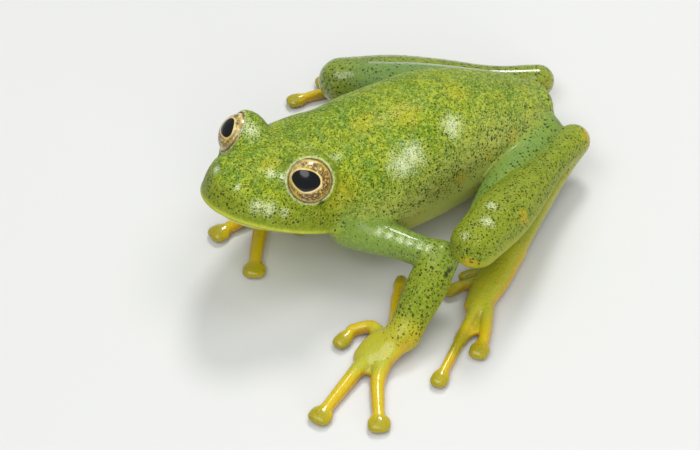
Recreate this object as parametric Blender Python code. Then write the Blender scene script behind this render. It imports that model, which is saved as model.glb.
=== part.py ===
"""Glass frog, still and life size, sitting with its forebody raised on its hands.

Sizes are in millimetres and scaled to metres at the end. The frog faces -Y, its left side
is +X, and it stands on z = 0. The origin is under the middle of its bounding box.
"""
import math

import bmesh
import bpy
import numpy as np
from mathutils import Matrix, Vector

MM = 0.001
GAP = 0.3  # between two nodes that touch
FAR = 60.0  # larger than the frog

# The head's own axes: x to its left, y ahead, z up, from the point midway between the irises.
HEAD_AT = Vector((-0.53, -9.2, 9.77))
HEAD_YAW = 16.3
HEAD_PITCH = 22.0
SNOUT_AHEAD = 4.5
HEAD_BACK = -5.6
HEAD_HALF_WIDTH = 4.7
WIDEST_AHEAD = -2.2
PLAN_POWER = 1.75  # how full the snout is seen from above
LIP_AT_SNOUT = -2.85
LIP_FALL = 0.16  # how far the lip drops for each millimetre towards the jaw's corner
JAW_CORNER = -2.6
NECK_AHEAD = -3.7  # where the head is parted from the torso
CROWN = ((-5.6, 1.5), (-3.5, 1.3), (-1.5, 0.85), (0.5, 0.5), (2.5, 0.0), (3.7, -0.75), (4.5, -1.8))
THROAT = ((-5.6, -5.5), (-3.5, -5.45), (-1.5, -5.3), (0.5, -5.0), (2.5, -4.5), (3.7, -4.0), (4.5, -3.4))
CHEEK_POWER = 2.15
JAW_POWER = 1.75
JAW_TUCK = 0.7  # how far the lower jaw lies inside the lip
SNOUT_CLOSES = 3.7  # how far ahead the snout starts to close to its tip
LEAST_CLOSED = 0.3  # the share of its height that its last section keeps
LEAST_ABOVE = 0.25
LEAST_BELOW = 0.2
LEAST_JAW = 0.15
CHEEK_BEND = 0.035  # how fast the cheeks draw in behind their widest level

EYE_RADIUS = 1.65
EYE_GAP = 0.15
EYE_APART = 3.58  # half the distance between the irises
IRIS_DEPTH = 0.8  # from the eyeball's middle to the iris
SOCKET_DEPTH = 0.76  # from the eyeball's middle to the open edge of its mound
EYE_OUTWARD = 42.0  # degrees from straight ahead
EYE_UPWARD = 22.0
SOCKET_WALL = 0.18
LID_RADIUS = 0.12
LID_BACK = 0.1  # how far behind the mound's edge the lid's ring lies
NOSTRIL = (1.55, 2.75, -0.3)
NOSTRIL_BUMP = 0.42
NOSTRIL_BUMP_DROP = 0.2
NOSTRIL_PIT = 0.17
NOSTRIL_PIT_FROM = (0.22, 0.05, 0.12)  # outwards, ahead and up
LIP_RADIUS = 0.22
LIP_INSET = 0.12
MOUTH_RADIUS = 0.15
MOUTH_INSET = 0.595
MOUTH_DROP = 0.34

# Each row is x, y, z of the section's widest level, half its width, its height above and below.
TORSO = (
    (-0.20, -7.4, 6.5, 2.6, 2.5, 1.8),
    (-0.10, -6.4, 6.1, 3.5, 3.5, 2.7),
    (-0.05, -5.0, 5.7, 4.45, 4.4, 3.5),
    (0.0, -2.5, 5.2, 5.0, 5.1, 4.1),
    (0.0, 0.0, 4.9, 4.95, 5.35, 4.15),
    (0.0, 2.5, 4.8, 4.7, 5.35, 4.1),
    (0.0, 5.0, 4.6, 4.3, 4.9, 3.7),
    (0.0, 7.0, 4.4, 3.75, 4.1, 3.1),
    (0.0, 9.0, 4.2, 3.1, 3.1, 2.5),
    (0.0, 10.4, 4.3, 2.4, 2.15, 2.0),
    (0.0, 11.2, 4.3, 1.8, 1.4, 1.6),
)

# The joints that the pose is set by.
SHOULDER = {"left": (3.4, -5.6, 4.4), "right": (-3.3, -5.2, 4.2)}
ELBOW = {"left": (8.95, -2.1, 4.05), "right": (-7.4, -2.5, 2.7)}
WRIST = {"left": (11.2, -6.5, 1.35), "right": (-5.6, -5.9, 1.35)}
KNUCKLES = {"left": (11.1, -9.1, 0.6), "right": (-4.75, -8.0, 0.6)}
HIP = {"left": (2.3, 10.2, 3.15), "right": (-2.0, 9.2, 4.2)}
THIGH_END = {"left": (9.0, 0.65, 4.45), "right": (-11.0, 1.9, 2.8)}
KNEE = {"left": (10.84, -0.44, 6.22), "right": (-10.9, 2.0, 2.6)}
HEEL = {"left": (3.79, 11.94, 3.05), "right": (-3.95, 14.1, 1.6)}
INSTEP = {"left": (8.6, 3.5, 0.95), "right": (-9.7, 7.8, 0.9)}
TOE_FORK = {"left": (11.2, -0.8, 0.6), "right": (-11.3, 4.9, 0.6)}

# Half the width and height of each limb, from its first joint to its last.
UPPER_ARM_SIZES = ((1.55, 1.5), (1.4, 1.3), (1.15, 1.1), (1.05, 1.05), (1.2, 1.15))
FOREARM_SIZES = ((1.15, 1.15), (1.38, 1.3), (1.36, 1.25), (1.22, 1.1), (1.15, 0.95))
PALM_SIZES = ((1.0, 0.9), (1.2, 0.75), (1.45, 0.6), (1.15, 0.5))
THIGH_SIZES = ((1.75, 1.75), (1.8, 1.8), (1.75, 1.75), (1.5, 1.5), (1.2, 1.2))
SHANK_SIZES = ((1.7, 1.65), (1.93, 1.8), (1.6, 1.55), (1.1, 1.1), (1.1, 1.1))
TARSUS_SIZES = ((1.1, 1.05), (0.95, 0.9), (0.95, 0.85), (1.05, 0.8))
SOLE_SIZES = ((1.05, 0.8), (1.2, 0.7), (1.15, 0.6), (0.85, 0.5))

# Each finger and toe runs through these points to its tip.
FINGERS = {
    "left": (
        ((10.6, -6.9, 0.75), (9.2, -6.0, 0.6), (7.6, -4.9, 0.5), (5.9, -3.4, 0.34)),
        ((10.5, -7.7, 0.7), (8.9, -7.6, 0.55), (8.3, -8.7, 0.38), (8.9, -10.4, 0.34)),
        ((10.9, -8.4, 0.7), (11.5, -10.2, 0.5), (12.6, -12.5, 0.38), (13.8, -14.9, 0.34)),
        ((11.5, -8.0, 0.7), (13.0, -9.6, 0.5), (14.8, -10.7, 0.38), (16.8, -11.8, 0.34)),
    ),
    "right": (
        ((-5.3, -6.4, 0.75), (-4.2, -5.7, 0.55), (-3.2, -4.9, 0.38), (-2.2, -3.9, 0.34)),
        ((-5.0, -6.8, 0.7), (-3.6, -6.6, 0.5), (-2.4, -6.7, 0.38), (-1.3, -7.1, 0.34)),
        ((-4.9, -7.3, 0.7), (-3.5, -9.0, 0.5), (-1.8, -10.4, 0.38), (0.35, -11.9, 0.34)),
        ((-5.1, -7.3, 0.7), (-4.75, -9.3, 0.5), (-4.7, -10.8, 0.38), (-4.6, -12.5, 0.34)),
    ),
}
TOES = {
    "left": (
        ((9.2, 1.9, 0.7), (8.75, 1.1, 0.5), (8.45, 0.5, 0.38), (8.15, -0.3, 0.34)),
        ((9.7, 1.2, 0.7), (9.15, 0.1, 0.5), (8.9, -0.8, 0.38), (8.85, -1.9, 0.34)),
        ((10.4, 0.4, 0.6), (11.5, -1.2, 0.5), (12.4, -2.4, 0.38), (13.3, -3.6, 0.34)),
        ((10.7, -0.1, 0.65), (12.3, -2.2, 0.5), (13.8, -4.3, 0.38), (15.5, -6.7, 0.34)),
        ((10.9, 0.3, 0.6), (12.5, -0.8, 0.5), (13.8, -1.85, 0.38), (14.9, -3.2, 0.34)),
    ),
    "right": (
        ((-10.2, 7.0, 0.7), (-9.2, 5.6, 0.5), (-8.6, 4.7, 0.38), (-8.2, 3.7, 0.34)),
        ((-10.6, 6.4, 0.7), (-9.9, 4.7, 0.5), (-9.5, 3.5, 0.38), (-9.3, 2.3, 0.34)),
        ((-10.9, 5.7, 0.65), (-11.2, 3.9, 0.5), (-11.3, 2.6, 0.38), (-11.4, 1.2, 0.34)),
        ((-11.1, 5.6, 0.65), (-12.0, 3.2, 0.5), (-12.7, 1.0, 0.38), (-13.3, -1.4, 0.34)),
        ((-11.3, 5.7, 0.6), (-12.8, 4.2, 0.5), (-13.4, 2.8, 0.38), (-13.8, 1.3, 0.34)),
    ),
}
# Half widths of the digits and of their discs, from the first digit to the last.
FINGER_WIDTHS = (0.36, 0.42, 0.47, 0.45)
FINGER_DISCS = (0.42, 0.58, 0.8, 0.76)
FINGER_ROOT = (1.6, 1.15)  # the first two widths over the free digit's
TOE_WIDTHS = (0.32, 0.33, 0.34, 0.36, 0.4)
TOE_DISCS = (0.42, 0.45, 0.45, 0.6, 0.66)
TOE_ROOT = (1.3, 1.1)
DIGIT_HEIGHT = 0.43  # half its thickness
DISC_HEIGHT = 0.36
DISC_NECK, DISC_BACK, DISC_FRONT = 1.6, 1.05, 0.32  # how far behind the tip each lies
NECK_SHARE = 0.8  # of a short last bone's length, the most that the neck lies behind the tip
BACK_SHARE = 0.65  # of the neck's distance, the most for the disc's back
FINGER_WEBS = ((2, 3, 0.36), (1, 2, 0.2))  # two digits and how far along them the web reaches
TOE_WEBS = ((0, 1, 0.38), (1, 2, 0.38), (2, 3, 0.6), (3, 4, 0.55))
WEB_HALF = 0.26
WEB_LEVEL = 0.42

GREEN = (0.35, 0.5, 0.08, 1)
BELLY_GREEN = (0.5, 0.62, 0.22, 1)
GOLD = (0.62, 0.5, 0.05, 1)
IRIS_GOLD = (0.5, 0.36, 0.14, 1)


def clear_scene():
    for item in list(bpy.data.objects):
        bpy.data.objects.remove(item, do_unlink=True)


def material(name, colour, roughness):
    made = bpy.data.materials.new(name)
    made.use_nodes = True
    shader = made.node_tree.nodes["Principled BSDF"]
    shader.inputs["Base Color"].default_value = colour
    shader.inputs["Roughness"].default_value = roughness
    shader.inputs["Metallic"].default_value = 0.0
    return made


def new_object(name, mesh_builder):
    """An object from a bmesh, with its faces turned outwards."""
    bmesh.ops.recalc_face_normals(mesh_builder, faces=mesh_builder.faces)
    mesh = bpy.data.meshes.new(name)
    mesh_builder.to_mesh(mesh)
    mesh_builder.free()
    made = bpy.data.objects.new(name, mesh)
    bpy.context.scene.collection.objects.link(made)
    return made


def smooth_rows(rows, steps):
    """Points of a Catmull-Rom curve through the rows, with their sizes."""
    rows = np.array(rows, float)
    ends = [2 * rows[0] - rows[1], *rows, 2 * rows[-1] - rows[-2]]
    found = []
    for before, start, end, after in zip(ends, ends[1:], ends[2:], ends[3:]):
        for t in np.arange(steps) / steps:
            found.append(
                0.5 * (2 * start + (end - before) * t
                       + (2 * before - 5 * start + 4 * end - after) * t ** 2
                       + (3 * start - before - 3 * end + after) * t ** 3)
            )
    found.append(rows[-1])
    return np.array(found)


def ring(centre, side, up, size, sides, power, lower=None):
    """A closed section: a superellipse with its own height above and below its widest level.

    Its lower half can have a half width and a power of its own.
    """
    found = []
    for i in range(sides):
        half_width, above, below = size
        fullness = power
        angle = 2 * math.pi * i / sides
        c, s = math.cos(angle), math.sin(angle)
        if lower and s < -0.01:
            half_width, fullness = lower
        across = half_width * math.copysign(abs(c) ** (2 / fullness), c)
        rise = (above if s > 0 else below) * math.copysign(abs(s) ** (2 / fullness), s)
        found.append(centre + side * across + up * rise)
    return found


def loft(name, rings, first_tip, last_tip):
    """A closed skin over rings of equally many points, drawn to a point at each end."""
    build = bmesh.new()
    loops = [[build.verts.new(point) for point in points] for points in rings]
    for one, two in zip(loops, loops[1:]):
        for i in range(len(one)):
            j = (i + 1) % len(one)
            build.faces.new((one[i], one[j], two[j], two[i]))
    for loop, tip in ((loops[0], first_tip), (loops[-1], last_tip)):
        point = build.verts.new(tip)
        for i in range(len(loop)):
            build.faces.new((loop[i], loop[(i + 1) % len(loop)], point))
    return new_object(name, build)


def tube(name, rows, sides=12, steps=4, power=2.0, caps=(1.0, 1.0), grow=0.0, rounding=(0, 32, 60)):
    """A rounded limb through rows of x, y, z, half width and half height.

    Each cap is how long the rounding at that end is, as a share of the end's half width, and
    rounding holds the angles at which it has a ring.
    """
    rows = smooth_rows(rows, steps)
    places = [Vector(row[:3]) for row in rows]
    sizes = rows[:, 3:] + grow
    if sizes.shape[1] == 2:
        sizes = sizes[:, [0, 1, 1]]
    rings = []
    tips = []
    last = len(places) - 1
    for i, place in enumerate(places):
        along = (places[min(i + 1, last)] - places[max(i - 1, 0)]).normalized()
        side = along.cross(Vector((0, 0, 1))).normalized()
        rise = side.cross(along)
        at_end = i in (0, last)
        if not at_end:
            rings.append(ring(place, side, rise, sizes[i], sides, power))
            continue
        outward = -along if i == 0 else along
        reach = caps[0 if i == 0 else 1] * sizes[i][0]
        cap = [
            ring(place + outward * reach * math.sin(a), side, rise, sizes[i] * math.cos(a), sides, power)
            for a in map(math.radians, rounding)
        ]
        tips.append(place + outward * reach)
        rings += cap[::-1] if i == 0 else cap
    return loft(name, rings, tips[0], tips[1])


def half_space(name, point, normal):
    """A box that fills everything on the side of a plane that its normal points to."""
    build = bmesh.new()
    bmesh.ops.create_cube(build, size=1.0)
    bmesh.ops.scale(build, vec=(2 * FAR, 2 * FAR, FAR), verts=build.verts)
    bmesh.ops.translate(build, vec=(0, 0, FAR / 2), verts=build.verts)
    turn = Vector(normal).to_track_quat("Z", "Y").to_matrix().to_4x4()
    bmesh.ops.transform(build, matrix=Matrix.Translation(point) @ turn, verts=build.verts)
    return new_object(name, build)


def largest_shell(target):
    """Keeps only the largest closed surface of the mesh."""
    build = bmesh.new()
    build.from_mesh(target.data)
    left = set(build.verts)
    shells = []
    while left:
        found = {left.pop()}
        edge = list(found)
        while edge:
            near = [e.other_vert(v) for v in edge for e in v.link_edges]
            edge = [v for v in set(near) if v in left]
            left.difference_update(edge)
            found.update(edge)
        shells.append(found)
    shells.sort(key=len)
    for scrap in shells[:-1]:
        bmesh.ops.delete(build, geom=list(scrap), context="VERTS")
    build.to_mesh(target.data)
    build.free()


def combine(target, tools, operation):
    """Joins closed objects to the target, or cuts them out of it, and removes them."""
    group = bpy.data.collections.new("tools")
    bpy.context.scene.collection.children.link(group)
    for tool in tools:
        bpy.context.scene.collection.objects.unlink(tool)
        group.objects.link(tool)
    boolean = target.modifiers.new("combine", "BOOLEAN")
    boolean.operation = operation
    boolean.solver = "MANIFOLD"
    boolean.operand_type = "COLLECTION"
    boolean.collection = group
    graph = bpy.context.evaluated_depsgraph_get()
    mesh = bpy.data.meshes.new_from_object(target.evaluated_get(graph))
    target.modifiers.clear()
    target.data = mesh
    for tool in list(group.objects):
        bpy.data.objects.remove(tool, do_unlink=True)
    bpy.data.collections.remove(group)
    largest_shell(target)
    return target


def head_matrix():
    turn = Matrix.Rotation(math.radians(HEAD_YAW), 4, "Z") @ Matrix.Rotation(math.pi, 4, "Z")
    lift = Matrix.Rotation(math.radians(HEAD_PITCH), 4, "X")
    return Matrix.Translation(HEAD_AT) @ turn @ lift @ Matrix.Diagonal((-1, 1, 1, 1))


HEAD = head_matrix()


def in_head(x, ahead, z):
    return HEAD @ Vector((x, ahead, z))


def head_way(x, ahead, z):
    return (HEAD.to_3x3() @ Vector((x, ahead, z))).normalized()


def lip_level(ahead):
    return LIP_AT_SNOUT - LIP_FALL * (SNOUT_AHEAD - ahead)


def head_half_width(ahead):
    """Half the head's width at the lip: straight cheeks, then a rounded snout."""
    if ahead <= WIDEST_AHEAD:
        return HEAD_HALF_WIDTH - CHEEK_BEND * (WIDEST_AHEAD - ahead) ** 2
    share = (ahead - WIDEST_AHEAD) / (SNOUT_AHEAD - WIDEST_AHEAD)
    return HEAD_HALF_WIDTH * math.sqrt(max(0.0, 1 - share ** PLAN_POWER))


def level_at(profile, ahead):
    places, levels = zip(*profile)
    return float(np.interp(ahead, places, levels))


def smooth_level(profile, ahead):
    """The profile's level, with its corners rounded by averaging over a millimetre."""
    return sum(level_at(profile, ahead + step) for step in (-0.6, -0.3, 0.0, 0.3, 0.6)) / 5


def head_loft(name, sides=32, stations=18, grow=0.0):
    side, rise = head_way(1, 0, 0), head_way(0, 0, 1)
    rings = []
    for i in range(stations):
        share = math.sin(0.5 * math.pi * i / stations)
        ahead = HEAD_BACK + (SNOUT_AHEAD - HEAD_BACK) * share
        lip = lip_level(ahead)
        past = max(0.0, (ahead - SNOUT_CLOSES) / (SNOUT_AHEAD - SNOUT_CLOSES))
        closing = max(LEAST_CLOSED, math.sqrt(max(0.0, 1 - past ** 2)))
        above = max(LEAST_ABOVE, smooth_level(CROWN, ahead) - lip) * closing
        below = max(LEAST_BELOW, lip - smooth_level(THROAT, ahead)) * closing
        half_width = head_half_width(ahead) + grow
        jaw = max(LEAST_JAW, half_width - JAW_TUCK), JAW_POWER
        size = (half_width, above + grow, below + grow)
        rings.append(ring(in_head(0, ahead, lip), side, rise, size, sides, CHEEK_POWER, jaw))
    back = in_head(0, HEAD_BACK - grow, lip_level(HEAD_BACK))
    return loft(name, rings, back, in_head(0, SNOUT_AHEAD + grow, lip_level(SNOUT_AHEAD)))


def lip_path(inset, drop, points=24):
    """Points along the lip from one corner of the jaw round the snout to the other."""
    half = []
    for i in range(points // 2):
        share = i / (points // 2)
        angle = 0.5 * math.pi * share
        ahead = JAW_CORNER + (SNOUT_AHEAD - inset - JAW_CORNER) * math.sin(angle)
        half.append((head_half_width(min(ahead + inset, SNOUT_AHEAD - 0.01)) - inset, ahead))
    right_side = [(-x, ahead) for x, ahead in half]
    whole = half + [(0.0, SNOUT_AHEAD - inset)] + right_side[::-1]
    return [in_head(x, ahead, lip_level(ahead) - drop) for x, ahead in whole]


def eye_axis(sign):
    outward, upward = math.radians(EYE_OUTWARD), math.radians(EYE_UPWARD)
    flat = math.cos(upward)
    return head_way(sign * math.sin(outward) * flat, math.cos(outward) * flat, math.sin(upward))


def eye_centre(sign):
    return in_head(sign * EYE_APART, 0, 0) - eye_axis(sign) * IRIS_DEPTH


def ball(name, centre, radius, axis=(0, 0, 1), segments=20, rings=12):
    build = bmesh.new()
    bmesh.ops.create_uvsphere(build, u_segments=segments, v_segments=rings, radius=radius)
    turn = Vector(axis).to_track_quat("Z", "Y").to_matrix().to_4x4()
    bmesh.ops.transform(build, matrix=Matrix.Translation(centre) @ turn, verts=build.verts)
    return new_object(name, build)


def hoop(name, centre, axis, radius, thickness, segments=22, sides=6):
    """A closed ring of round section about an axis."""
    turn = Vector(axis).to_track_quat("Z", "Y").to_matrix()
    build = bmesh.new()
    loops = []
    for i in range(segments):
        angle = 2 * math.pi * i / segments
        outward = Vector((math.cos(angle), math.sin(angle), 0))
        loop = []
        for k in range(sides):
            turned = 2 * math.pi * k / sides
            spot = outward * (radius + thickness * math.cos(turned))
            spot += Vector((0, 0, thickness * math.sin(turned)))
            loop.append(build.verts.new(Vector(centre) + turn @ spot))
        loops.append(loop)
    for one, two in zip(loops, loops[1:] + loops[:1]):
        for k in range(sides):
            j = (k + 1) % sides
            build.faces.new((one[k], one[j], two[j], two[k]))
    return new_object(name, build)


def cord_along(name, path, radius, sides=6):
    rows = [(*point, radius, radius) for point in path]
    return tube(name, rows, sides=sides, steps=1, rounding=(0,))


def torso_loft(name, grow=0.0, sides=28, steps=2):
    return tube(name, TORSO, sides=sides, steps=steps, power=2.25, caps=(0.5, 0.6), grow=grow)


def plane_between(before, joint, after):
    """The plane through a joint that parts the segment before it from the one after it."""
    joint = Vector(joint)
    into = (joint - Vector(before)).normalized()
    out_of = (Vector(after) - joint).normalized()
    return joint, (into + out_of).normalized()


def keep_before(name, plane):
    point, normal = plane
    return half_space(name, point - normal * GAP / 2, normal)


def keep_after(name, plane):
    point, normal = plane
    return half_space(name, point + normal * GAP / 2, -normal)


def below_floor():
    return half_space("below_floor", Vector((0, 0, 0)), Vector((0, 0, -1)))


def make_head_and_torso():
    """The head and body as one form, parted at the neck by a thin cut."""
    neck = in_head(0, NECK_AHEAD, 0), head_way(0, -1, 0)
    parts = {}
    for name in ("head", "torso"):
        body = head_loft(name)
        tools = [torso_loft("body_form")]
        if name == "head":
            for sign in (1, -1):
                tools.append(ball("mound", eye_centre(sign), EYE_RADIUS + SOCKET_WALL + EYE_GAP))
                bump = in_head(sign * NOSTRIL[0], NOSTRIL[1], NOSTRIL[2] - NOSTRIL_BUMP_DROP)
                tools.append(ball("nostril_bump", bump, NOSTRIL_BUMP, segments=12, rings=8))
            tools.append(cord_along("lip", lip_path(LIP_INSET, 0.0), LIP_RADIUS))
        combine(body, tools, "UNION")
        cutters = [keep_before("cut", neck) if name == "head" else keep_after("cut", neck)]
        if name == "head":
            cutters += head_cutters()
        combine(body, cutters, "DIFFERENCE")
        if name == "head":
            add_lids(body)
        parts[name] = body
    return parts


def head_cutters():
    """Sockets open to the outside, nostril pits and the line of the mouth."""
    cutters = [cord_along("mouth", lip_path(MOUTH_INSET, MOUTH_DROP), MOUTH_RADIUS)]
    outwards, ahead, up = NOSTRIL_PIT_FROM
    for sign in (1, -1):
        axis = eye_axis(sign)
        cutters.append(ball("socket", eye_centre(sign), EYE_RADIUS + EYE_GAP, axis, 20, 12))
        cutters.append(short_cylinder("opening", eye_centre(sign) + axis * SOCKET_DEPTH, axis))
        pit = in_head(sign * (NOSTRIL[0] + outwards), NOSTRIL[1] + ahead, NOSTRIL[2] + up)
        cutters.append(ball("nostril_pit", pit, NOSTRIL_PIT, segments=8, rings=6))
    return cutters


def short_cylinder(name, centre, axis):
    """What trims the eye's mound level with the lids."""
    build = bmesh.new()
    depth = 2.5
    radius = EYE_RADIUS + SOCKET_WALL + EYE_GAP + 0.02
    bmesh.ops.create_cone(
        build, cap_ends=True, segments=32, radius1=radius, radius2=radius, depth=depth
    )
    turn = Vector(axis).to_track_quat("Z", "Y").to_matrix().to_4x4()
    place = Matrix.Translation(centre + axis * depth / 2)
    bmesh.ops.transform(build, matrix=place @ turn, verts=build.verts)
    return new_object(name, build)


def add_lids(head):
    lids = []
    for sign in (1, -1):
        axis = eye_axis(sign)
        centre = eye_centre(sign) + axis * (SOCKET_DEPTH - LID_BACK)
        radius = math.sqrt((EYE_RADIUS + EYE_GAP) ** 2 - IRIS_DEPTH ** 2) + LID_RADIUS
        lids.append(hoop("lid", centre, axis, radius, LID_RADIUS))
    combine(head, lids, "UNION")


def make_eye(side, sign):
    return ball(f"eye_{side}", eye_centre(sign), EYE_RADIUS, eye_axis(sign), 20, 12)


def rows_between(start, end, sizes):
    """Rows evenly spaced from one joint to the next, with the half sizes given."""
    start, end = Vector(start), Vector(end)
    count = len(sizes) - 1
    return [(*start.lerp(end, i / count), *size) for i, size in enumerate(sizes)]


def forearm_form(name, side, grow=0.0):
    rows = rows_between(ELBOW[side], WRIST[side], FOREARM_SIZES)
    return tube(name, rows, steps=2, caps=(1.0, 0.1), grow=grow)


def make_arm(side):
    shoulder, elbow, wrist = SHOULDER[side], ELBOW[side], WRIST[side]
    knuckles = KNUCKLES[side]
    at_elbow = plane_between(shoulder, elbow, wrist)
    at_wrist = plane_between(elbow, wrist, knuckles)
    upper = tube(f"upper_arm_{side}", rows_between(shoulder, elbow, UPPER_ARM_SIZES), steps=2)
    grown = [torso_loft("body_form", GAP), head_loft("head_form", grow=GAP)]
    combine(upper, [keep_before("cut", at_elbow), *grown], "DIFFERENCE")
    fore = forearm_form(f"forearm_{side}", side)
    cuts = [keep_after("cut", at_elbow), keep_before("cut", at_wrist), below_floor()]
    combine(fore, cuts, "DIFFERENCE")
    return upper, fore, at_wrist


def digit(name, points, half_width, disc, root, grow=0.0):
    """A finger or toe: a slim rod that widens at its end into a blunt disc."""
    points = [Vector(point) for point in points]
    end = points[-1]
    back = (points[-2] - end).normalized()
    neck = min(DISC_NECK, NECK_SHARE * (points[-2] - end).length)
    disc_back = min(DISC_BACK, BACK_SHARE * neck)
    rows = [
        (*points[0], half_width * root[0], DIGIT_HEIGHT * 1.2),
        (*points[1], half_width * root[1], DIGIT_HEIGHT * 1.05),
        (*points[2], half_width, DIGIT_HEIGHT),
        (*(end + back * neck), half_width * 0.96, DIGIT_HEIGHT * 0.92),
        (*(end + back * disc_back), disc * 0.9, DISC_HEIGHT),
        (*(end + back * DISC_FRONT), disc, DISC_HEIGHT * 0.95),
    ]
    caps = (0.8, DISC_FRONT / disc)
    return tube(name, rows, sides=8, steps=2, power=2.3, caps=caps, grow=grow, rounding=(0, 48))


def web(name, one, two, reach, grow=0.0):
    """A thin skin between two digits, with a hollow front edge."""
    first = smooth_rows(one, 4)
    second = smooth_rows(two, 4)
    count = max(2, round(reach * (len(first) - 1)))
    outline = [Vector(point) for point in first[:count + 1]]
    middle = Vector(first[count - 1]).lerp(Vector(second[count - 1]), 0.5)
    outline.append(middle)
    outline += [Vector(point) for point in second[:count + 1]][::-1]
    build = bmesh.new()
    loops = []
    for rise in (-WEB_HALF - grow, WEB_HALF + grow):
        loops.append([build.verts.new((p.x, p.y, WEB_LEVEL + rise)) for p in outline])
    build.faces.new(loops[0])
    build.faces.new(loops[1])
    for i in range(len(outline)):
        j = (i + 1) % len(outline)
        build.faces.new((loops[0][i], loops[0][j], loops[1][j], loops[1][i]))
    bmesh.ops.triangulate(build, faces=build.faces)
    return new_object(name, build)


def make_hand(side, at_wrist):
    wrist, knuckles = WRIST[side], KNUCKLES[side]
    palm = tube(f"hand_{side}", rows_between(wrist, knuckles, PALM_SIZES), steps=2, caps=(0.8, 0.6))
    pieces = []
    for points, width, disc in zip(FINGERS[side], FINGER_WIDTHS, FINGER_DISCS):
        pieces.append(digit("finger", points, width, disc, FINGER_ROOT))
    for one, two, reach in FINGER_WEBS:
        pieces.append(web("web", FINGERS[side][one], FINGERS[side][two], reach))
    combine(palm, [keep_after("cut", at_wrist)], "DIFFERENCE")
    combine(palm, pieces, "UNION")
    return combine(palm, [forearm_form("arm", side, GAP), below_floor()], "DIFFERENCE")


def shank_form(name, side, grow=0.0):
    return tube(name, rows_between(KNEE[side], HEEL[side], SHANK_SIZES), steps=2, grow=grow)


def tarsus_form(name, side, grow=0.0):
    return tube(name, rows_between(HEEL[side], INSTEP[side], TARSUS_SIZES), steps=2, grow=grow)


def sole_form(name, side, grow=0.0):
    rows = rows_between(INSTEP[side], TOE_FORK[side], SOLE_SIZES)
    return tube(name, rows, steps=2, caps=(0.8, 0.6), grow=grow)


def toes_and_webs(side, grow=0.0):
    """The toes of a foot, and the thin skins between them."""
    pieces = []
    for points, width, disc in zip(TOES[side], TOE_WIDTHS, TOE_DISCS):
        pieces.append(digit("toe", points, width, disc, TOE_ROOT, grow))
    for one, two, reach in TOE_WEBS:
        pieces.append(web("web", TOES[side][one], TOES[side][two], reach, grow))
    return pieces


def make_leg(side):
    """A folded leg: the shank lies over the thigh, which is cut back round it.

    The shank is cut back in turn where the foot lies under it.
    """
    knee, heel, instep = KNEE[side], HEEL[side], INSTEP[side]
    at_heel = plane_between(knee, heel, instep)
    at_instep = plane_between(heel, instep, TOE_FORK[side])
    thigh = tube(f"thigh_{side}", rows_between(HIP[side], THIGH_END[side], THIGH_SIZES), steps=2)
    around = [shank_form("calf", side, GAP), tarsus_form("ankle", side, GAP)]
    combine(thigh, [torso_loft("body_form", GAP), *around, below_floor()], "DIFFERENCE")
    shank = shank_form(f"shank_{side}", side)
    under = [sole_form("foot_form", side, GAP), *toes_and_webs(side, GAP)]
    combine(shank, [keep_before("cut", at_heel), *under], "DIFFERENCE")
    tarsus = tarsus_form(f"tarsus_{side}", side)
    cuts = [keep_after("cut", at_heel), keep_before("cut", at_instep), below_floor()]
    combine(tarsus, cuts, "DIFFERENCE")
    return thigh, shank, tarsus, at_instep


def make_foot(side, at_instep):
    sole = sole_form(f"foot_{side}", side)
    combine(sole, toes_and_webs(side), "UNION")
    return combine(sole, [keep_after("cut", at_instep), below_floor()], "DIFFERENCE")


def finish(made, look):
    """Gives the object its material, rounds its shading and scales it to metres."""
    made.data.materials.clear()
    made.data.materials.append(look)
    made.data.transform(Matrix.Scale(MM, 4))
    made.data.shade_smooth()
    made.data.set_sharp_from_angle(angle=math.radians(40))


def centre_on_origin(nodes):
    """Moves everything so that the origin lies under the middle of the bounding box."""
    points = [vertex.co for node in nodes for vertex in node.data.vertices]
    middle = [(min(p[i] for p in points) + max(p[i] for p in points)) / 2 for i in (0, 1)]
    lowest = min(p.z for p in points)
    for node in nodes:
        node.data.transform(Matrix.Translation((-middle[0], -middle[1], -lowest)))


def main():
    clear_scene()
    bpy.context.scene.unit_settings.scale_length = 1.0
    back_skin = material("back_skin", GREEN, 0.38)
    under_skin = material("under_skin", BELLY_GREEN, 0.38)
    digit_skin = material("digit_skin", GOLD, 0.35)
    iris = material("iris", IRIS_GOLD, 0.1)
    nodes = []
    body = make_head_and_torso()
    nodes += [(body["head"], back_skin), (body["torso"], back_skin)]
    for side, sign in (("left", 1), ("right", -1)):
        nodes.append((make_eye(side, sign), iris))
        upper, fore, at_wrist = make_arm(side)
        nodes += [(upper, under_skin), (fore, back_skin)]
        nodes.append((make_hand(side, at_wrist), digit_skin))
        thigh, shank, tarsus, at_instep = make_leg(side)
        nodes += [(thigh, under_skin), (shank, back_skin), (tarsus, digit_skin)]
        nodes.append((make_foot(side, at_instep), digit_skin))
    for made, look in nodes:
        finish(made, look)
    centre_on_origin([made for made, _ in nodes])


main()
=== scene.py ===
"""Glass frog: one seamless skin and two eyes, on a plain pale floor.

The skin is the zero level of a field of soft forms: a body and a head, limbs, fingers and toes,
blended where they grow out of one another and only touching where they don't. Sizes are in
millimetres in the frog's own frame, where it faces -Y and its left side is +X.
"""

import math
from concurrent.futures import ThreadPoolExecutor

import bpy
import numpy as np
from mathutils import Matrix, Vector


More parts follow.
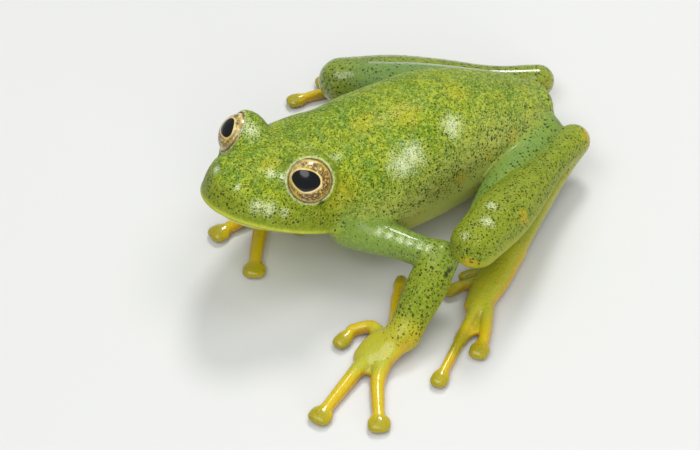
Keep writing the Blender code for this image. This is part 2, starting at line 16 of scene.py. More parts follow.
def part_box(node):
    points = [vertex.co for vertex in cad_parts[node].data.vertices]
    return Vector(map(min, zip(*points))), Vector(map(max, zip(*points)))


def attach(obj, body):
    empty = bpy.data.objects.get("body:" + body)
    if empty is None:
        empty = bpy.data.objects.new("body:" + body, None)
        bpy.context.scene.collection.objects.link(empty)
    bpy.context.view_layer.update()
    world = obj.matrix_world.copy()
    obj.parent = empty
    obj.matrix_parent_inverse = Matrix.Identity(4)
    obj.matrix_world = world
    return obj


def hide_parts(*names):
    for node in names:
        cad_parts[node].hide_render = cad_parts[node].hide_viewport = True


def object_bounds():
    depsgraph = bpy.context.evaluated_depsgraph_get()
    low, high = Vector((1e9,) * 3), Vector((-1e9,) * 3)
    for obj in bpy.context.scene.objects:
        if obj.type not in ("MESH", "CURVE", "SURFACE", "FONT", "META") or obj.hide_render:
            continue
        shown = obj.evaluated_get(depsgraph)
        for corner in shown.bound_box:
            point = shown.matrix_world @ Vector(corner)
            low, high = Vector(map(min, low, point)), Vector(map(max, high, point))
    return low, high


bl_info = {
    "name": "Glass frog",
    "version": (1, 0, 0),
    "blender": (4, 5, 0),
    "location": "View3D > Sidebar > Frog",
    "description": "Builds a glass frog's skin and eyes around its solids, with a stage",
    "category": "Object",
}

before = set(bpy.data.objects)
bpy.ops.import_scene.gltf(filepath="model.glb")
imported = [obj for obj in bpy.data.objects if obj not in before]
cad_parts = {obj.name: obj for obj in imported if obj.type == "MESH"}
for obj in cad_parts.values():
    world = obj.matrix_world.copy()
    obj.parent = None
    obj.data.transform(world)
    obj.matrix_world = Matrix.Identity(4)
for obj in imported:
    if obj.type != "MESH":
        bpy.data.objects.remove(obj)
CAD_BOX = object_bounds()

MM = 0.001
NOWHERE = 9.0  # the distance given to a point that is far from a form
TINY = 1e-9  # keeps a division from being by nothing
BATCH = 40000  # how many points are worked out at once
CORES = 4
FIELD_MARGIN = 0.5  # how far past the solids' box the field is worked out
UP = np.array((0.0, 0.0, 1.0))
SIDES = {"left": 1, "right": -1}
LIMB_PARTS = ("upper_arm", "forearm", "hand", "thigh", "shank", "tarsus", "foot")

# The head's own axes: x to its left, y ahead, z up, from the point midway between the irises.
HEAD_AT = Vector((-0.53, -9.2, 9.77))
HEAD_YAW = 16.3
HEAD_PITCH = 22.0
SNOUT_AHEAD = 4.5
HEAD_BACK = -5.6
HEAD_HALF_WIDTH = 4.7
WIDEST_AHEAD = -2.2
LIP_AT_SNOUT = -2.85
LIP_FALL = 0.16
JAW_CORNER = -2.6
CROWN = ((-5.6, 1.5), (-3.5, 1.3), (-1.5, 0.85), (0.5, 0.5), (2.5, 0.0), (3.7, -0.75), (4.5, -1.8))
THROAT = ((-5.6, -5.5), (-3.5, -5.45), (-1.5, -5.3), (0.5, -5.0), (2.5, -4.5), (3.7, -4.0), (4.5, -3.4))
JAW_TUCK = 0.7  # how far the lower jaw lies inside the lip
PLAN_POWER = 1.75  # how full the snout is seen from above
CHEEK_POWER = 2.15
JAW_POWER = 1.75
CHEEK_BEND = 0.035  # how fast the cheeks draw in behind their widest level
PROFILE_POINTS = 240
PROFILE_BLUR = 31  # over how many of them a profile's corners are rounded

EYE_RADIUS = 1.65
EYE_APART = 3.58
IRIS_DEPTH = 0.8
SOCKET_FLOOR = 0.35  # the eyeball is sunk in the skin behind this depth
EYE_OUTWARD = 42.0
EYE_UPWARD = 22.0
NOSTRIL = (1.55, 2.75, -0.3)
# Each pupil by the eye's sign: its roll, how far backwards and up it lies, and its size.
PUPIL = {1: (25.0, -0.27, 0.14, 1.0), -1: (-16.0, -0.28, 0.48, 0.76)}

BODY_POWER = 2.25
CHEST_CAP, RUMP_CAP = 1.3, 1.08  # how far the body is rounded past its first and last section
# Each row is x, y, z of the section's widest level, half its width, its height above and below.
TORSO = (
    (-0.20, -7.4, 6.5, 2.6, 2.5, 1.8),
    (-0.10, -6.4, 6.1, 3.5, 3.5, 2.7),
    (-0.05, -5.0, 5.7, 4.45, 4.4, 3.5),
    (0.0, -2.5, 5.2, 5.0, 5.1, 4.1),
    (0.0, 0.0, 4.9, 4.95, 5.35, 4.15),
    (0.0, 2.5, 4.8, 4.7, 5.35, 4.1),
    (0.0, 5.0, 4.6, 4.3, 4.9, 3.7),
    (0.0, 7.0, 4.4, 3.75, 4.1, 3.1),
    (0.0, 9.0, 4.2, 3.1, 3.1, 2.5),
    (0.0, 10.4, 4.3, 2.4, 2.15, 2.0),
    (0.0, 11.2, 4.3, 1.8, 1.4, 1.6),
)

SHOULDER = {"left": (3.4, -5.6, 4.4), "right": (-3.3, -5.2, 4.2)}
ELBOW = {"left": (8.95, -2.1, 4.05), "right": (-7.4, -2.5, 2.7)}
WRIST = {"left": (11.2, -6.5, 1.35), "right": (-5.6, -5.9, 1.35)}
KNUCKLES = {"left": (11.1, -9.1, 0.6), "right": (-4.75, -8.0, 0.6)}
HIP = {"left": (2.3, 10.2, 3.15), "right": (-2.0, 9.2, 4.2)}
THIGH_END = {"left": (9.0, 0.65, 4.45), "right": (-11.0, 1.9, 2.8)}
KNEE = {"left": (10.84, -0.44, 6.22), "right": (-10.9, 2.0, 2.6)}
HEEL = {"left": (3.79, 11.94, 3.05), "right": (-3.95, 14.1, 1.6)}
INSTEP = {"left": (8.6, 3.5, 0.95), "right": (-9.7, 7.8, 0.9)}
TOE_FORK = {"left": (11.2, -0.8, 0.6), "right": (-11.3, 4.9, 0.6)}

UPPER_ARM_SIZES = ((1.55, 1.5), (1.4, 1.3), (1.15, 1.1), (1.05, 1.05), (1.2, 1.15))
FOREARM_SIZES = ((1.15, 1.15), (1.38, 1.3), (1.36, 1.25), (1.22, 1.1), (1.15, 0.95))
PALM_SIZES = ((1.0, 0.9), (1.2, 0.75), (1.45, 0.6), (1.15, 0.5))
THIGH_SIZES = ((1.75, 1.75), (1.8, 1.8), (1.75, 1.75), (1.5, 1.5), (1.2, 1.2))
SHANK_SIZES = ((1.7, 1.65), (1.93, 1.8), (1.6, 1.55), (1.1, 1.1), (1.1, 1.1))
TARSUS_SIZES = ((1.1, 1.05), (0.95, 0.9), (0.95, 0.85), (1.05, 0.8))
SOLE_SIZES = ((1.05, 0.8), (1.2, 0.7), (1.15, 0.6), (0.85, 0.5))

# Each finger and toe runs through these points to its tip.
FINGERS = {
    "left": (
        ((10.6, -6.9, 0.75), (9.2, -6.0, 0.6), (7.6, -4.9, 0.5), (5.9, -3.4, 0.34)),
        ((10.5, -7.7, 0.7), (8.9, -7.6, 0.55), (8.3, -8.7, 0.38), (8.9, -10.4, 0.34)),
        ((10.9, -8.4, 0.7), (11.5, -10.2, 0.5), (12.6, -12.5, 0.38), (13.8, -14.9, 0.34)),
        ((11.5, -8.0, 0.7), (13.0, -9.6, 0.5), (14.8, -10.7, 0.38), (16.8, -11.8, 0.34)),
    ),
    "right": (
        ((-5.3, -6.4, 0.75), (-4.2, -5.7, 0.55), (-3.2, -4.9, 0.38), (-2.2, -3.9, 0.34)),
        ((-5.0, -6.8, 0.7), (-3.6, -6.6, 0.5), (-2.4, -6.7, 0.38), (-1.3, -7.1, 0.34)),
        ((-4.9, -7.3, 0.7), (-3.5, -9.0, 0.5), (-1.8, -10.4, 0.38), (0.35, -11.9, 0.34)),
        ((-5.1, -7.3, 0.7), (-4.75, -9.3, 0.5), (-4.7, -10.8, 0.38), (-4.6, -12.5, 0.34)),
    ),
}
TOES = {
    "left": (
        ((9.2, 1.9, 0.7), (8.75, 1.1, 0.5), (8.45, 0.5, 0.38), (8.15, -0.3, 0.34)),
        ((9.7, 1.2, 0.7), (9.15, 0.1, 0.5), (8.9, -0.8, 0.38), (8.85, -1.9, 0.34)),
        ((10.4, 0.4, 0.6), (11.5, -1.2, 0.5), (12.4, -2.4, 0.38), (13.3, -3.6, 0.34)),
        ((10.7, -0.1, 0.65), (12.3, -2.2, 0.5), (13.8, -4.3, 0.38), (15.5, -6.7, 0.34)),
        ((10.9, 0.3, 0.6), (12.5, -0.8, 0.5), (13.8, -1.85, 0.38), (14.9, -3.2, 0.34)),
    ),
    "right": (
        ((-10.2, 7.0, 0.7), (-9.2, 5.6, 0.5), (-8.6, 4.7, 0.38), (-8.2, 3.7, 0.34)),
        ((-10.6, 6.4, 0.7), (-9.9, 4.7, 0.5), (-9.5, 3.5, 0.38), (-9.3, 2.3, 0.34)),
        ((-10.9, 5.7, 0.65), (-11.2, 3.9, 0.5), (-11.3, 2.6, 0.38), (-11.4, 1.2, 0.34)),
        ((-11.1, 5.6, 0.65), (-12.0, 3.2, 0.5), (-12.7, 1.0, 0.38), (-13.3, -1.4, 0.34)),
        ((-11.3, 5.7, 0.6), (-12.8, 4.2, 0.5), (-13.4, 2.8, 0.38), (-13.8, 1.3, 0.34)),
    ),
}
# Half widths of the digits and of their discs, from the first digit to the last.
FINGER_WIDTHS = (0.36, 0.42, 0.47, 0.45)
FINGER_DISCS = (0.42, 0.58, 0.8, 0.76)
FINGER_ROOT = (1.6, 1.15)  # the first two widths over the free digit's
TOE_WIDTHS = (0.32, 0.33, 0.34, 0.36, 0.4)
TOE_DISCS = (0.42, 0.45, 0.45, 0.6, 0.66)
TOE_ROOT = (1.3, 1.1)
DIGIT_HEIGHT = 0.43
DISC_HEIGHT = 0.36
DISC_LENGTH = 0.68  # half of it
DISC_NECK, DISC_BACK = 1.7, 1.0  # how far behind the tip the rod's last two rows lie
DISC_POWER = 2.7
FINGER_WEBS = ((2, 3, 0.36), (1, 2, 0.2))
TOE_WEBS = ((0, 1, 0.38), (1, 2, 0.38), (2, 3, 0.6), (3, 4, 0.55))
WEB_HALF = 0.2
WEB_LEVEL = 0.42
WEB_HOLLOW = 0.9  # how far the web's front edge is drawn back

# Each limb segment runs from one joint to another.
SEGMENTS = {
    "upper_arm": (SHOULDER, ELBOW, UPPER_ARM_SIZES),
    "forearm": (ELBOW, WRIST, FOREARM_SIZES),
    "palm": (WRIST, KNUCKLES, PALM_SIZES),
    "thigh": (HIP, THIGH_END, THIGH_SIZES),
    "shank": (KNEE, HEEL, SHANK_SIZES),
    "tarsus": (HEEL, INSTEP, TARSUS_SIZES),
    "sole": (INSTEP, TOE_FORK, SOLE_SIZES),
}
DIGITS = {
    "finger": (FINGERS, FINGER_WIDTHS, FINGER_DISCS, FINGER_ROOT, FINGER_WEBS),
    "toe": (TOES, TOE_WIDTHS, TOE_DISCS, TOE_ROOT, TOE_WEBS),
}
# How softly forms grow into each other. A joint's blend has four numbers: how far from the joint
# it stays at its most, from where it is at its least, and that most and least.
NECK_BLEND = 1.3
ELBOW_BLEND = 0.5
WRIST_BLEND = (1.2, 2.4, 0.7, 0.12)
KNEE_BLEND = (1.5, 3.5, 0.5, 0.15)
HEEL_BLEND = (1.2, 3.0, 0.5, 0.12)
INSTEP_BLEND = (1.2, 2.6, 0.6, 0.1)
SHOULDER_BLEND = (2.5, 5.0, 1.0, 0.1)
HIP_BLEND = (3.0, 6.5, 0.9, 0.2)
DIGIT_BLEND, WEB_BLEND = 0.3, 0.22

# Patches on the skin: x, y, z of the middle and the radius; painted highlights first, then the skin's own
# marks.
# Painted highlights: the whitish sheen of wet skin on the back, head, knee and along the upper arm.
PAINTED_SHEEN_PATCHES = (
    (3.9, -1.9, 8.6, 1.5),
    (3.8, -0.9, 8.8, 1.6),
    (3.1, 2.7, 9.0, 1.3),
    (1.4, -10.2, 10.4, 0.7),
    (1.9, -9.7, 10.2, 0.6),
    (2.7, -12.1, 9.4, 0.8),
    (3.2, -11.4, 9.2, 0.9),
    (3.7, -10.6, 8.7, 0.7),
    (1.2, -12.6, 10.2, 0.4),
    (-2.4, -9.5, 10.9, 1.1),
    (-1.2, -12.9, 10.0, 0.6),
    (2.0, -5.6, 10.0, 0.7),
    (9.6, 1.6, 7.4, 0.7),
    (11.0, -1.3, 7.5, 0.5),
    (10.8, 0.5, 7.6, 0.8),
    (5.7, -4.8, 5.45, 0.5),
    (6.3, -4.4, 5.35, 0.5),
    (6.9, -3.95, 5.28, 0.5),
    (7.5, -3.55, 5.2, 0.5),
    (8.1, -3.15, 5.15, 0.5),
    (8.6, -2.8, 5.1, 0.5),
)
YELLOW_PATCHES = (
    (3.6, -6.4, 8.2, 2.2),
    (1.0, 4.6, 10.1, 1.6),
    (1.4, 0.2, 10.3, 1.8),
    (0.6, -2.6, 10.4, 1.5),
    (0.8, -9.9, 10.4, 1.2),
    (-0.5, 8.4, 8.9, 1.2),
    (1.6, -12.2, 10.0, 0.35),
)
ORANGE_PATCHES = (
    (0.3, 11.9, 4.9, 0.7),
    (4.2, 12.7, 3.3, 1.2),
    (4.6, 4.8, 6.2, 0.8),
    (4.5, 2.2, 5.6, 0.8),
    (3.9, 7.3, 6.0, 0.9),
    (12.0, -1.6, 6.0, 0.9),
    (10.6, 3.4, 6.2, 0.9),
)
DARK_SPOTS = (
    (10.32, -2.28, 4.2, 0.24),
    (10.5, -2.63, 4.14, 0.24),
    (4.02, -8.03, 8.44, 0.34),
)


def head_matrix():
    turn = Matrix.Rotation(math.radians(HEAD_YAW), 4, "Z") @ Matrix.Rotation(math.pi, 4, "Z")
    lift = Matrix.Rotation(math.radians(HEAD_PITCH), 4, "X")
    return Matrix.Translation(HEAD_AT) @ turn @ lift @ Matrix.Diagonal((-1, 1, 1, 1))


HEAD = head_matrix()


def in_head(x, ahead, z):
    return np.array(HEAD @ Vector((x, ahead, z)))


def head_way(x, ahead, z):
    return np.array((HEAD.to_3x3() @ Vector((x, ahead, z))).normalized())


def eye_axis(sign):
    outward, upward = math.radians(EYE_OUTWARD), math.radians(EYE_UPWARD)
    flat = math.cos(upward)
    return head_way(sign * math.sin(outward) * flat, math.cos(outward) * flat, math.sin(upward))


def eye_centre(sign):
    return in_head(sign * EYE_APART, 0, 0) - eye_axis(sign) * IRIS_DEPTH


def lip_level(ahead):
    return LIP_AT_SNOUT - LIP_FALL * (SNOUT_AHEAD - ahead)


def frog_to_part():
    """How far the frog's own frame stands from the part's, in millimetres."""
    low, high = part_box("eye_left")
    return np.array((low + high) / 2) / MM - eye_centre(1)


def smooth_rows(rows, steps):
    """Points of a Catmull-Rom curve through the rows, with their sizes."""
    rows = np.array(rows, float)
    ends = [2 * rows[0] - rows[1], *rows, 2 * rows[-1] - rows[-2]]
    found = []
    for before, start, end, after in zip(ends, ends[1:], ends[2:], ends[3:]):
        for t in np.arange(steps) / steps:
            found.append(
                0.5 * (2 * start + (end - before) * t
                       + (2 * before - 5 * start + 4 * end - after) * t ** 2
                       + (3 * start - before - 3 * end + after) * t ** 3)
            )
    found.append(rows[-1])
    return np.array(found)


def smooth_step(low, high, value):
    share = np.clip((value - low) / (high - low), 0.0, 1.0)
    return share * share * (3 - 2 * share)


def from_place(points, place):
    return np.linalg.norm(points - np.array(place), axis=1)


def soft_union(one, two, reach):
    """The nearer of two forms, rounded off over the reach where both are near."""
    overlap = np.clip(reach - np.abs(one - two), 0.0, None) / reach
    return np.minimum(one, two) - overlap ** 3 * reach / 6


def soft_cut(form, tool, reach):
    return -soft_union(-form, tool, reach)


class Rod:
    """A limb, finger or cord through rows of x, y, z, half width and half height."""

    def __init__(self, rows, steps=4, margin=1.2):
        rows = smooth_rows(rows, steps)
        self.rows = rows
        widest = rows[:, 3:].max() + margin
        self.low = rows[:, :3].min(axis=0) - widest
        self.high = rows[:, :3].max(axis=0) + widest

    def distance(self, points):
        nearest = np.full(len(points), NOWHERE)
        for start, end in zip(self.rows, self.rows[1:]):
            step = end[:3] - start[:3]
            length = np.linalg.norm(step)
            along = step / length
            side = np.cross(along, UP)
            side /= np.linalg.norm(side)
            rise = np.cross(side, along)
            away = points - start[:3]
            share = np.clip(away @ along / length, 0.0, 1.0)
            width = start[3] + share * (end[3] - start[3])
            height = start[4] + share * (end[4] - start[4])
            across = away @ side
            lift = away @ rise
            beyond = away @ along - share * length
            reach = np.sqrt(across ** 2 + lift ** 2 + beyond ** 2) + TINY
            ratio = np.sqrt((across / width) ** 2 + (lift / height) ** 2 + (beyond / width) ** 2) + TINY
            nearest = np.minimum(nearest, reach - reach / ratio)
        return nearest


class Ball:
    """An ellipsoid on axes that are the columns of a turn matrix. A power over 2 squares its plan."""

    def __init__(self, centre, sizes, turn=None, margin=1.2, power=2.0):
        self.power = power
        self.centre = np.array(centre, float)
        self.sizes = np.array(sizes, float) * np.ones(3)
        self.turn = np.eye(3) if turn is None else np.array(turn, float)
        widest = self.sizes.max() + margin
        self.low = self.centre - widest
        self.high = self.centre + widest

    def distance(self, points):
        away = (points - self.centre) @ self.turn
        reach = np.linalg.norm(away, axis=1) + TINY
        x, y, z = np.abs(away / self.sizes).T
        plan = (x ** self.power + y ** self.power) ** (1 / self.power)
        ratio = np.hypot(plan, z) + TINY
        return reach - reach / ratio


class Hoop:
    """A ring of round section about an axis, thicker towards one side."""

    def __init__(self, centre, axis, radius, thin, thick, towards, margin=0.8):
        self.centre, self.axis = np.array(centre), np.array(axis)
        self.radius, self.thin, self.thick = radius, thin, thick
        self.towards = np.array(towards)
        self.low = self.centre - radius - thick - margin
        self.high = self.centre + radius + thick + margin

    def distance(self, points):
        away = points - self.centre
        depth = away @ self.axis
        flat = away - depth[:, None] * self.axis
        out = np.linalg.norm(flat, axis=1) + TINY
        share = 0.5 + 0.5 * (flat @ self.towards) / out
        thickness = self.thin + (self.thick - self.thin) * share
        return np.hypot(out - self.radius, depth) - thickness


class Section:
    """A form given by a level function that is 0 on its surface, made even by its slope."""

    def __init__(self, level, low, high):
        self.level, self.low, self.high = level, np.array(low), np.array(high)

    def distance(self, points):
        step = 0.02
        here = self.level(points)
        slopes = [(self.level(points + step * axis) - here) / step for axis in np.eye(3)]
        return here / np.maximum(np.sqrt(sum(slope ** 2 for slope in slopes)), 0.08)


def near(form, points):
    """The form's distance at the points in its box, and a far one elsewhere."""
    found = np.full(len(points), NOWHERE)
    inside = (points[:, 0] > form.low[0]) & (points[:, 0] < form.high[0])
    for axis in (1, 2):
        inside &= (points[:, axis] > form.low[axis]) & (points[:, axis] < form.high[axis])
    if inside.any():
        found[inside] = np.minimum(form.distance(points[inside]), NOWHERE)
    return found


def torso_form():
    table = smooth_rows(TORSO, 24)
    first, last = table[0, 1], table[-1, 1]

    def level(points):
        y = points[:, 1]
        x0, z0, wide, above, below = (np.interp(y, table[:, 1], table[:, i]) for i in (0, 2, 3, 4, 5))
        lift = points[:, 2] - z0
        high = np.where(lift > 0, above, below)
        across = np.abs((points[:, 0] - x0) / wide)
        section = (across ** BODY_POWER + np.abs(lift / high) ** BODY_POWER) ** (2 / BODY_POWER)
        front = np.clip(first - y, 0.0, None) / CHEST_CAP
        rear = np.clip(y - last, 0.0, None) / RUMP_CAP
        return section + front ** 2 + rear ** 2 - 1

    return Section(level, (-6.8, -10.5, -0.6), (6.8, 13.8, 12.0))


def head_form():
    turn = np.array(HEAD.to_3x3())
    place = np.array(HEAD_AT)
    ahead = np.linspace(HEAD_BACK - 3, SNOUT_AHEAD + 2, PROFILE_POINTS)
    kernel = np.hanning(PROFILE_BLUR)
    kernel /= kernel.sum()

    def smoothed(profile):
        places, levels = zip(*profile)
        line = np.interp(ahead, places, levels)
        return np.convolve(np.pad(line, PROFILE_BLUR // 2, mode="edge"), kernel, mode="valid")

    lip = lip_level(ahead)
    share = np.clip((ahead - WIDEST_AHEAD) / (SNOUT_AHEAD - WIDEST_AHEAD), 0.0, 0.93)
    ring = np.sqrt(1 - share ** PLAN_POWER)
    above = np.maximum(smoothed(CROWN) - lip, 0.3) / ring
    below = np.maximum(lip - smoothed(THROAT), 0.25) / ring
    wide = HEAD_HALF_WIDTH - CHEEK_BEND * np.clip(WIDEST_AHEAD - ahead, 0.0, None) ** 2

    def level(points):
        local = (points - place) @ turn
        y = local[:, 1]
        lift = local[:, 2] - np.interp(y, ahead, lip)
        high = np.where(lift > 0, np.interp(y, ahead, above), np.interp(y, ahead, below))
        tuck = JAW_TUCK * smooth_step(0.0, 0.35, -lift)
        power = np.where(lift > 0, CHEEK_POWER, JAW_POWER)
        across = np.abs(local[:, 0]) / (np.interp(y, ahead, wide) - tuck)
        forward = np.clip(y - WIDEST_AHEAD, 0.0, None) / (SNOUT_AHEAD - WIDEST_AHEAD - tuck)
        behind = np.clip(HEAD_BACK + 1 - y, 0.0, None) / 2
        section = (across ** power + np.abs(lift / high) ** power) ** (2 / power)
        return section + forward ** PLAN_POWER + behind ** 2 - 1

    return Section(level, (-8.5, -16.0, 1.6), (6.5, -2.0, 12.5))


def head_half_width(ahead):
    if ahead <= WIDEST_AHEAD:
        return HEAD_HALF_WIDTH - CHEEK_BEND * (WIDEST_AHEAD - ahead) ** 2
    share = (ahead - WIDEST_AHEAD) / (SNOUT_AHEAD - WIDEST_AHEAD)
    return HEAD_HALF_WIDTH * math.sqrt(max(0.0, 1 - share ** PLAN_POWER))


def lip_rows(inset, drop, radius, points=40):
    """Rows along the lip from one corner of the jaw round the snout to the other."""
    half = []
    for i in range(points // 2):
        angle = 0.5 * math.pi * i / (points // 2)
        ahead = JAW_CORNER + (SNOUT_AHEAD - inset - JAW_CORNER) * math.sin(angle)
        half.append((head_half_width(min(ahead + inset, SNOUT_AHEAD - 0.01)) - inset, ahead))
    whole = half + [(0.0, SNOUT_AHEAD - inset)] + [(-x, ahead) for x, ahead in half][::-1]
    return [(*in_head(x, ahead, lip_level(ahead) - drop), radius, radius) for x, ahead in whole]


def rows_between(start, end, sizes):
    start, end = np.array(start), np.array(end)
    count = len(sizes) - 1
    return [(*(start + (end - start) * i / count), *size) for i, size in enumerate(sizes)]


def digit_forms(points, half_width, disc, root):
    """A finger or toe as a rod, and the flat blunt disc at its tip."""
    points = [np.array(point, float) for point in points]
    end = points[-1]
    along = end - points[-2]
    along /= np.linalg.norm(along)
    side = np.cross(along, UP)
    side /= np.linalg.norm(side)
    rows = [
        (*points[0], half_width * root[0], DIGIT_HEIGHT * 1.2),
        (*points[1], half_width * root[1], DIGIT_HEIGHT * 1.05),
        (*points[2], half_width, DIGIT_HEIGHT),
        (*(end - along * DISC_NECK), half_width * 0.94, DIGIT_HEIGHT * 0.92),
        (*(end - along * DISC_BACK), half_width * 1.05, DISC_HEIGHT),
    ]
    turn = np.stack([side, along, np.cross(side, along)], axis=1)
    pad = Ball(end - along * DISC_LENGTH, (disc, DISC_LENGTH, DISC_HEIGHT), turn, power=DISC_POWER)
    return [Rod(rows), pad]


def web_rods(one, two, reach):
    """Thin rods side by side across the gap between two digits, close enough to join into a web."""
    first, second = smooth_rows(one, 8), smooth_rows(two, 8)
    count = max(2, round(reach * (len(first) - 1)))
    rods = []
    for i in range(count + 1):
        a, b = first[i].copy(), second[i].copy()
        middle = (a + b) / 2
        if i:
            middle += (first[i - 1] + second[i - 1] - first[i] - second[i]) * WEB_HOLLOW
        a[2] = b[2] = middle[2] = WEB_LEVEL
        rods.append(Rod([(*p, WEB_HALF, WEB_HALF) for p in (a, middle, b)], steps=2, margin=0.6))
    return rods


def blend_near(points, centre, inner, outer, most, least):
    """A reach that is the most near a joint and falls to the least away from it."""
    away = from_place(points, centre)
    return least + (most - least) * (1 - smooth_step(inner, outer, away))


class FrogForm:
    """All the forms of the frog's skin and how they join."""

    def __init__(self):
        self.torso = torso_form()
        self.head = head_form()
        self.lip = Rod(lip_rows(0.1, 0.0, 0.17), steps=1, margin=0.5)
        self.mouth = Rod(lip_rows(JAW_TUCK * 0.8, 0.28, 0.07), steps=1, margin=0.5)
        self.sides = {}
        for side, sign in SIDES.items():
            self.sides[side] = self.limbs(side)
            self.sides[side]["eye"] = self.eye_forms(sign)

    def eye_forms(self, sign):
        centre, axis = eye_centre(sign), eye_axis(sign)
        ring = math.sqrt(EYE_RADIUS ** 2 - IRIS_DEPTH ** 2) + 0.1
        upwards = head_way(0, 0, 1)
        upwards = upwards - (upwards @ axis) * axis
        nostril, ahead, up = NOSTRIL
        return {
            "mound": Ball(centre, EYE_RADIUS + 0.22),
            "socket": Ball(centre, EYE_RADIUS + 0.02, margin=0.6),
            "lid": Hoop(centre + axis * (IRIS_DEPTH - 0.08), axis, ring - 0.02, 0.09, 0.11, upwards),
            "bump": Ball(in_head(sign * nostril, ahead, up - 0.24), 0.42),
            "pit": Ball(in_head(sign * (nostril + 0.24), ahead + 0.03, up + 0.1), 0.13, margin=0.5),
            "centre": centre,
            "axis": axis,
        }

    def limbs(self, side):
        found = {
            name: Rod(rows_between(start[side], end[side], sizes))
            for name, (start, end, sizes) in SEGMENTS.items()
        }
        for name, (lines, widths, discs, root, webs) in DIGITS.items():
            lines = lines[side]
            digits = [digit_forms(*row, root) for row in zip(lines, widths, discs)]
            joins = [web_rods(lines[i], lines[j], reach) for i, j, reach in webs]
            found[f"{name}s"] = [form for forms in digits for form in forms]
            found[f"{name}_webs"] = [rod for rods in joins for rod in rods]
        return found

    def digits(self, points, base, rods, webs):
        found = base
        for rod in rods:
            found = soft_union(found, near(rod, points), DIGIT_BLEND)
        for rod in webs:
            found = soft_union(found, near(rod, points), WEB_BLEND)
        return found

    def parts(self, points):
        """The distance to each part of the frog, before they are joined."""
        found = {"torso": near(self.torso, points)}
        head = near(self.head, points)
        for side in SIDES:
            head = soft_union(head, near(self.sides[side]["eye"]["mound"], points), 0.7)
            head = soft_union(head, near(self.sides[side]["eye"]["bump"], points), 0.45)
        head = soft_union(head, near(self.lip, points), 0.3)
        found["head"] = head
        for side, forms in self.sides.items():
            for name in ("upper_arm", "forearm", "thigh", "shank", "tarsus"):
                found[f"{name}_{side}"] = near(forms[name], points)
            palm = near(forms["palm"], points)
            found[f"hand_{side}"] = self.digits(points, palm, forms["fingers"], forms["finger_webs"])
            sole = near(forms["sole"], points)
            found[f"foot_{side}"] = self.digits(points, sole, forms["toes"], forms["toe_webs"])
        return found

    def joined(self, points, parts):
        """The distance to the whole skin."""
        body = soft_union(parts["torso"], parts["head"], NECK_BLEND)
        for side in SIDES:
            arm = soft_union(parts[f"upper_arm_{side}"], parts[f"forearm_{side}"], ELBOW_BLEND)
            at_wrist = blend_near(points, WRIST[side], *WRIST_BLEND)
            arm = soft_union(arm, parts[f"hand_{side}"], at_wrist)
            leg = parts[f"thigh_{side}"]
            for name, joint, blend in (
                ("shank", KNEE, KNEE_BLEND), ("tarsus", HEEL, HEEL_BLEND), ("foot", INSTEP, INSTEP_BLEND)
            ):
                leg = soft_union(leg, parts[f"{name}_{side}"], blend_near(points, joint[side], *blend))
            body = soft_union(body, arm, blend_near(points, SHOULDER[side], *SHOULDER_BLEND))
            body = soft_union(body, leg, blend_near(points, HIP[side], *HIP_BLEND))
        body = soft_cut(body, near(self.mouth, points), 0.12)
        for side in SIDES:
            body = self.open_eye(body, points, self.sides[side]["eye"])
        return np.maximum(body, -points[:, 2])

    def open_eye(self, body, points, eye):
        """Cuts the socket and its opening, lays the lid round it and sinks the nostril."""
        away = points - eye["centre"]
        depth = away @ eye["axis"]
        out = np.linalg.norm(away - depth[:, None] * eye["axis"], axis=1)
        opening = np.maximum(IRIS_DEPTH - 0.06 - depth, out - EYE_RADIUS - 0.42)
        opening = np.maximum(opening, depth - 3.2)
        body = soft_cut(body, np.where(np.abs(depth) < 5, opening, NOWHERE), 0.12)
        body = soft_union(body, near(eye["lid"], points), 0.14)
        socket = np.maximum(near(eye["socket"], points), SOCKET_FLOOR - depth)
        body = soft_cut(body, socket, 0.04)
        return soft_cut(body, near(eye["pit"], points), 0.08)

    def distance(self, points):
        return self.joined(points, self.parts(points))


def in_batches(work, points):
    """The work's result at all the points, a batch of them at a time on each core."""
    batches = np.array_split(points, max(1, len(points) // BATCH))
    with ThreadPoolExecutor(CORES) as crew:
        return np.concatenate(list(crew.map(work, batches)))


def fill_grid(form, low, high, cell):
    """The field on a fine grid, worked out only near the surface."""
    coarse = 4
    shape = np.ceil((high - low) / (cell * coarse)).astype(int) * coarse + 1
    corners = [np.arange(0, n, coarse) for n in shape]
    places = np.stack(np.meshgrid(*corners, indexing="ij"), axis=-1)
    rough = in_batches(form.distance, low + places.reshape(-1, 3) * cell).reshape(places.shape[:3])
    grid = rough[np.ix_(*[(np.arange(n) + coarse // 2) // coarse for n in shape])].astype(np.float32)
    starts = places[np.abs(rough) < cell * coarse * 1.5]
    offsets = np.stack(np.meshgrid(*[np.arange(coarse) - coarse // 2] * 3, indexing="ij"), axis=-1)
    index = (starts[:, None, :] + offsets.reshape(1, -1, 3)).reshape(-1, 3)
    index = index[np.all((index >= 0) & (index < shape), axis=1)]
    grid[tuple(index.T)] = in_batches(form.distance, low + index * cell)
    return grid


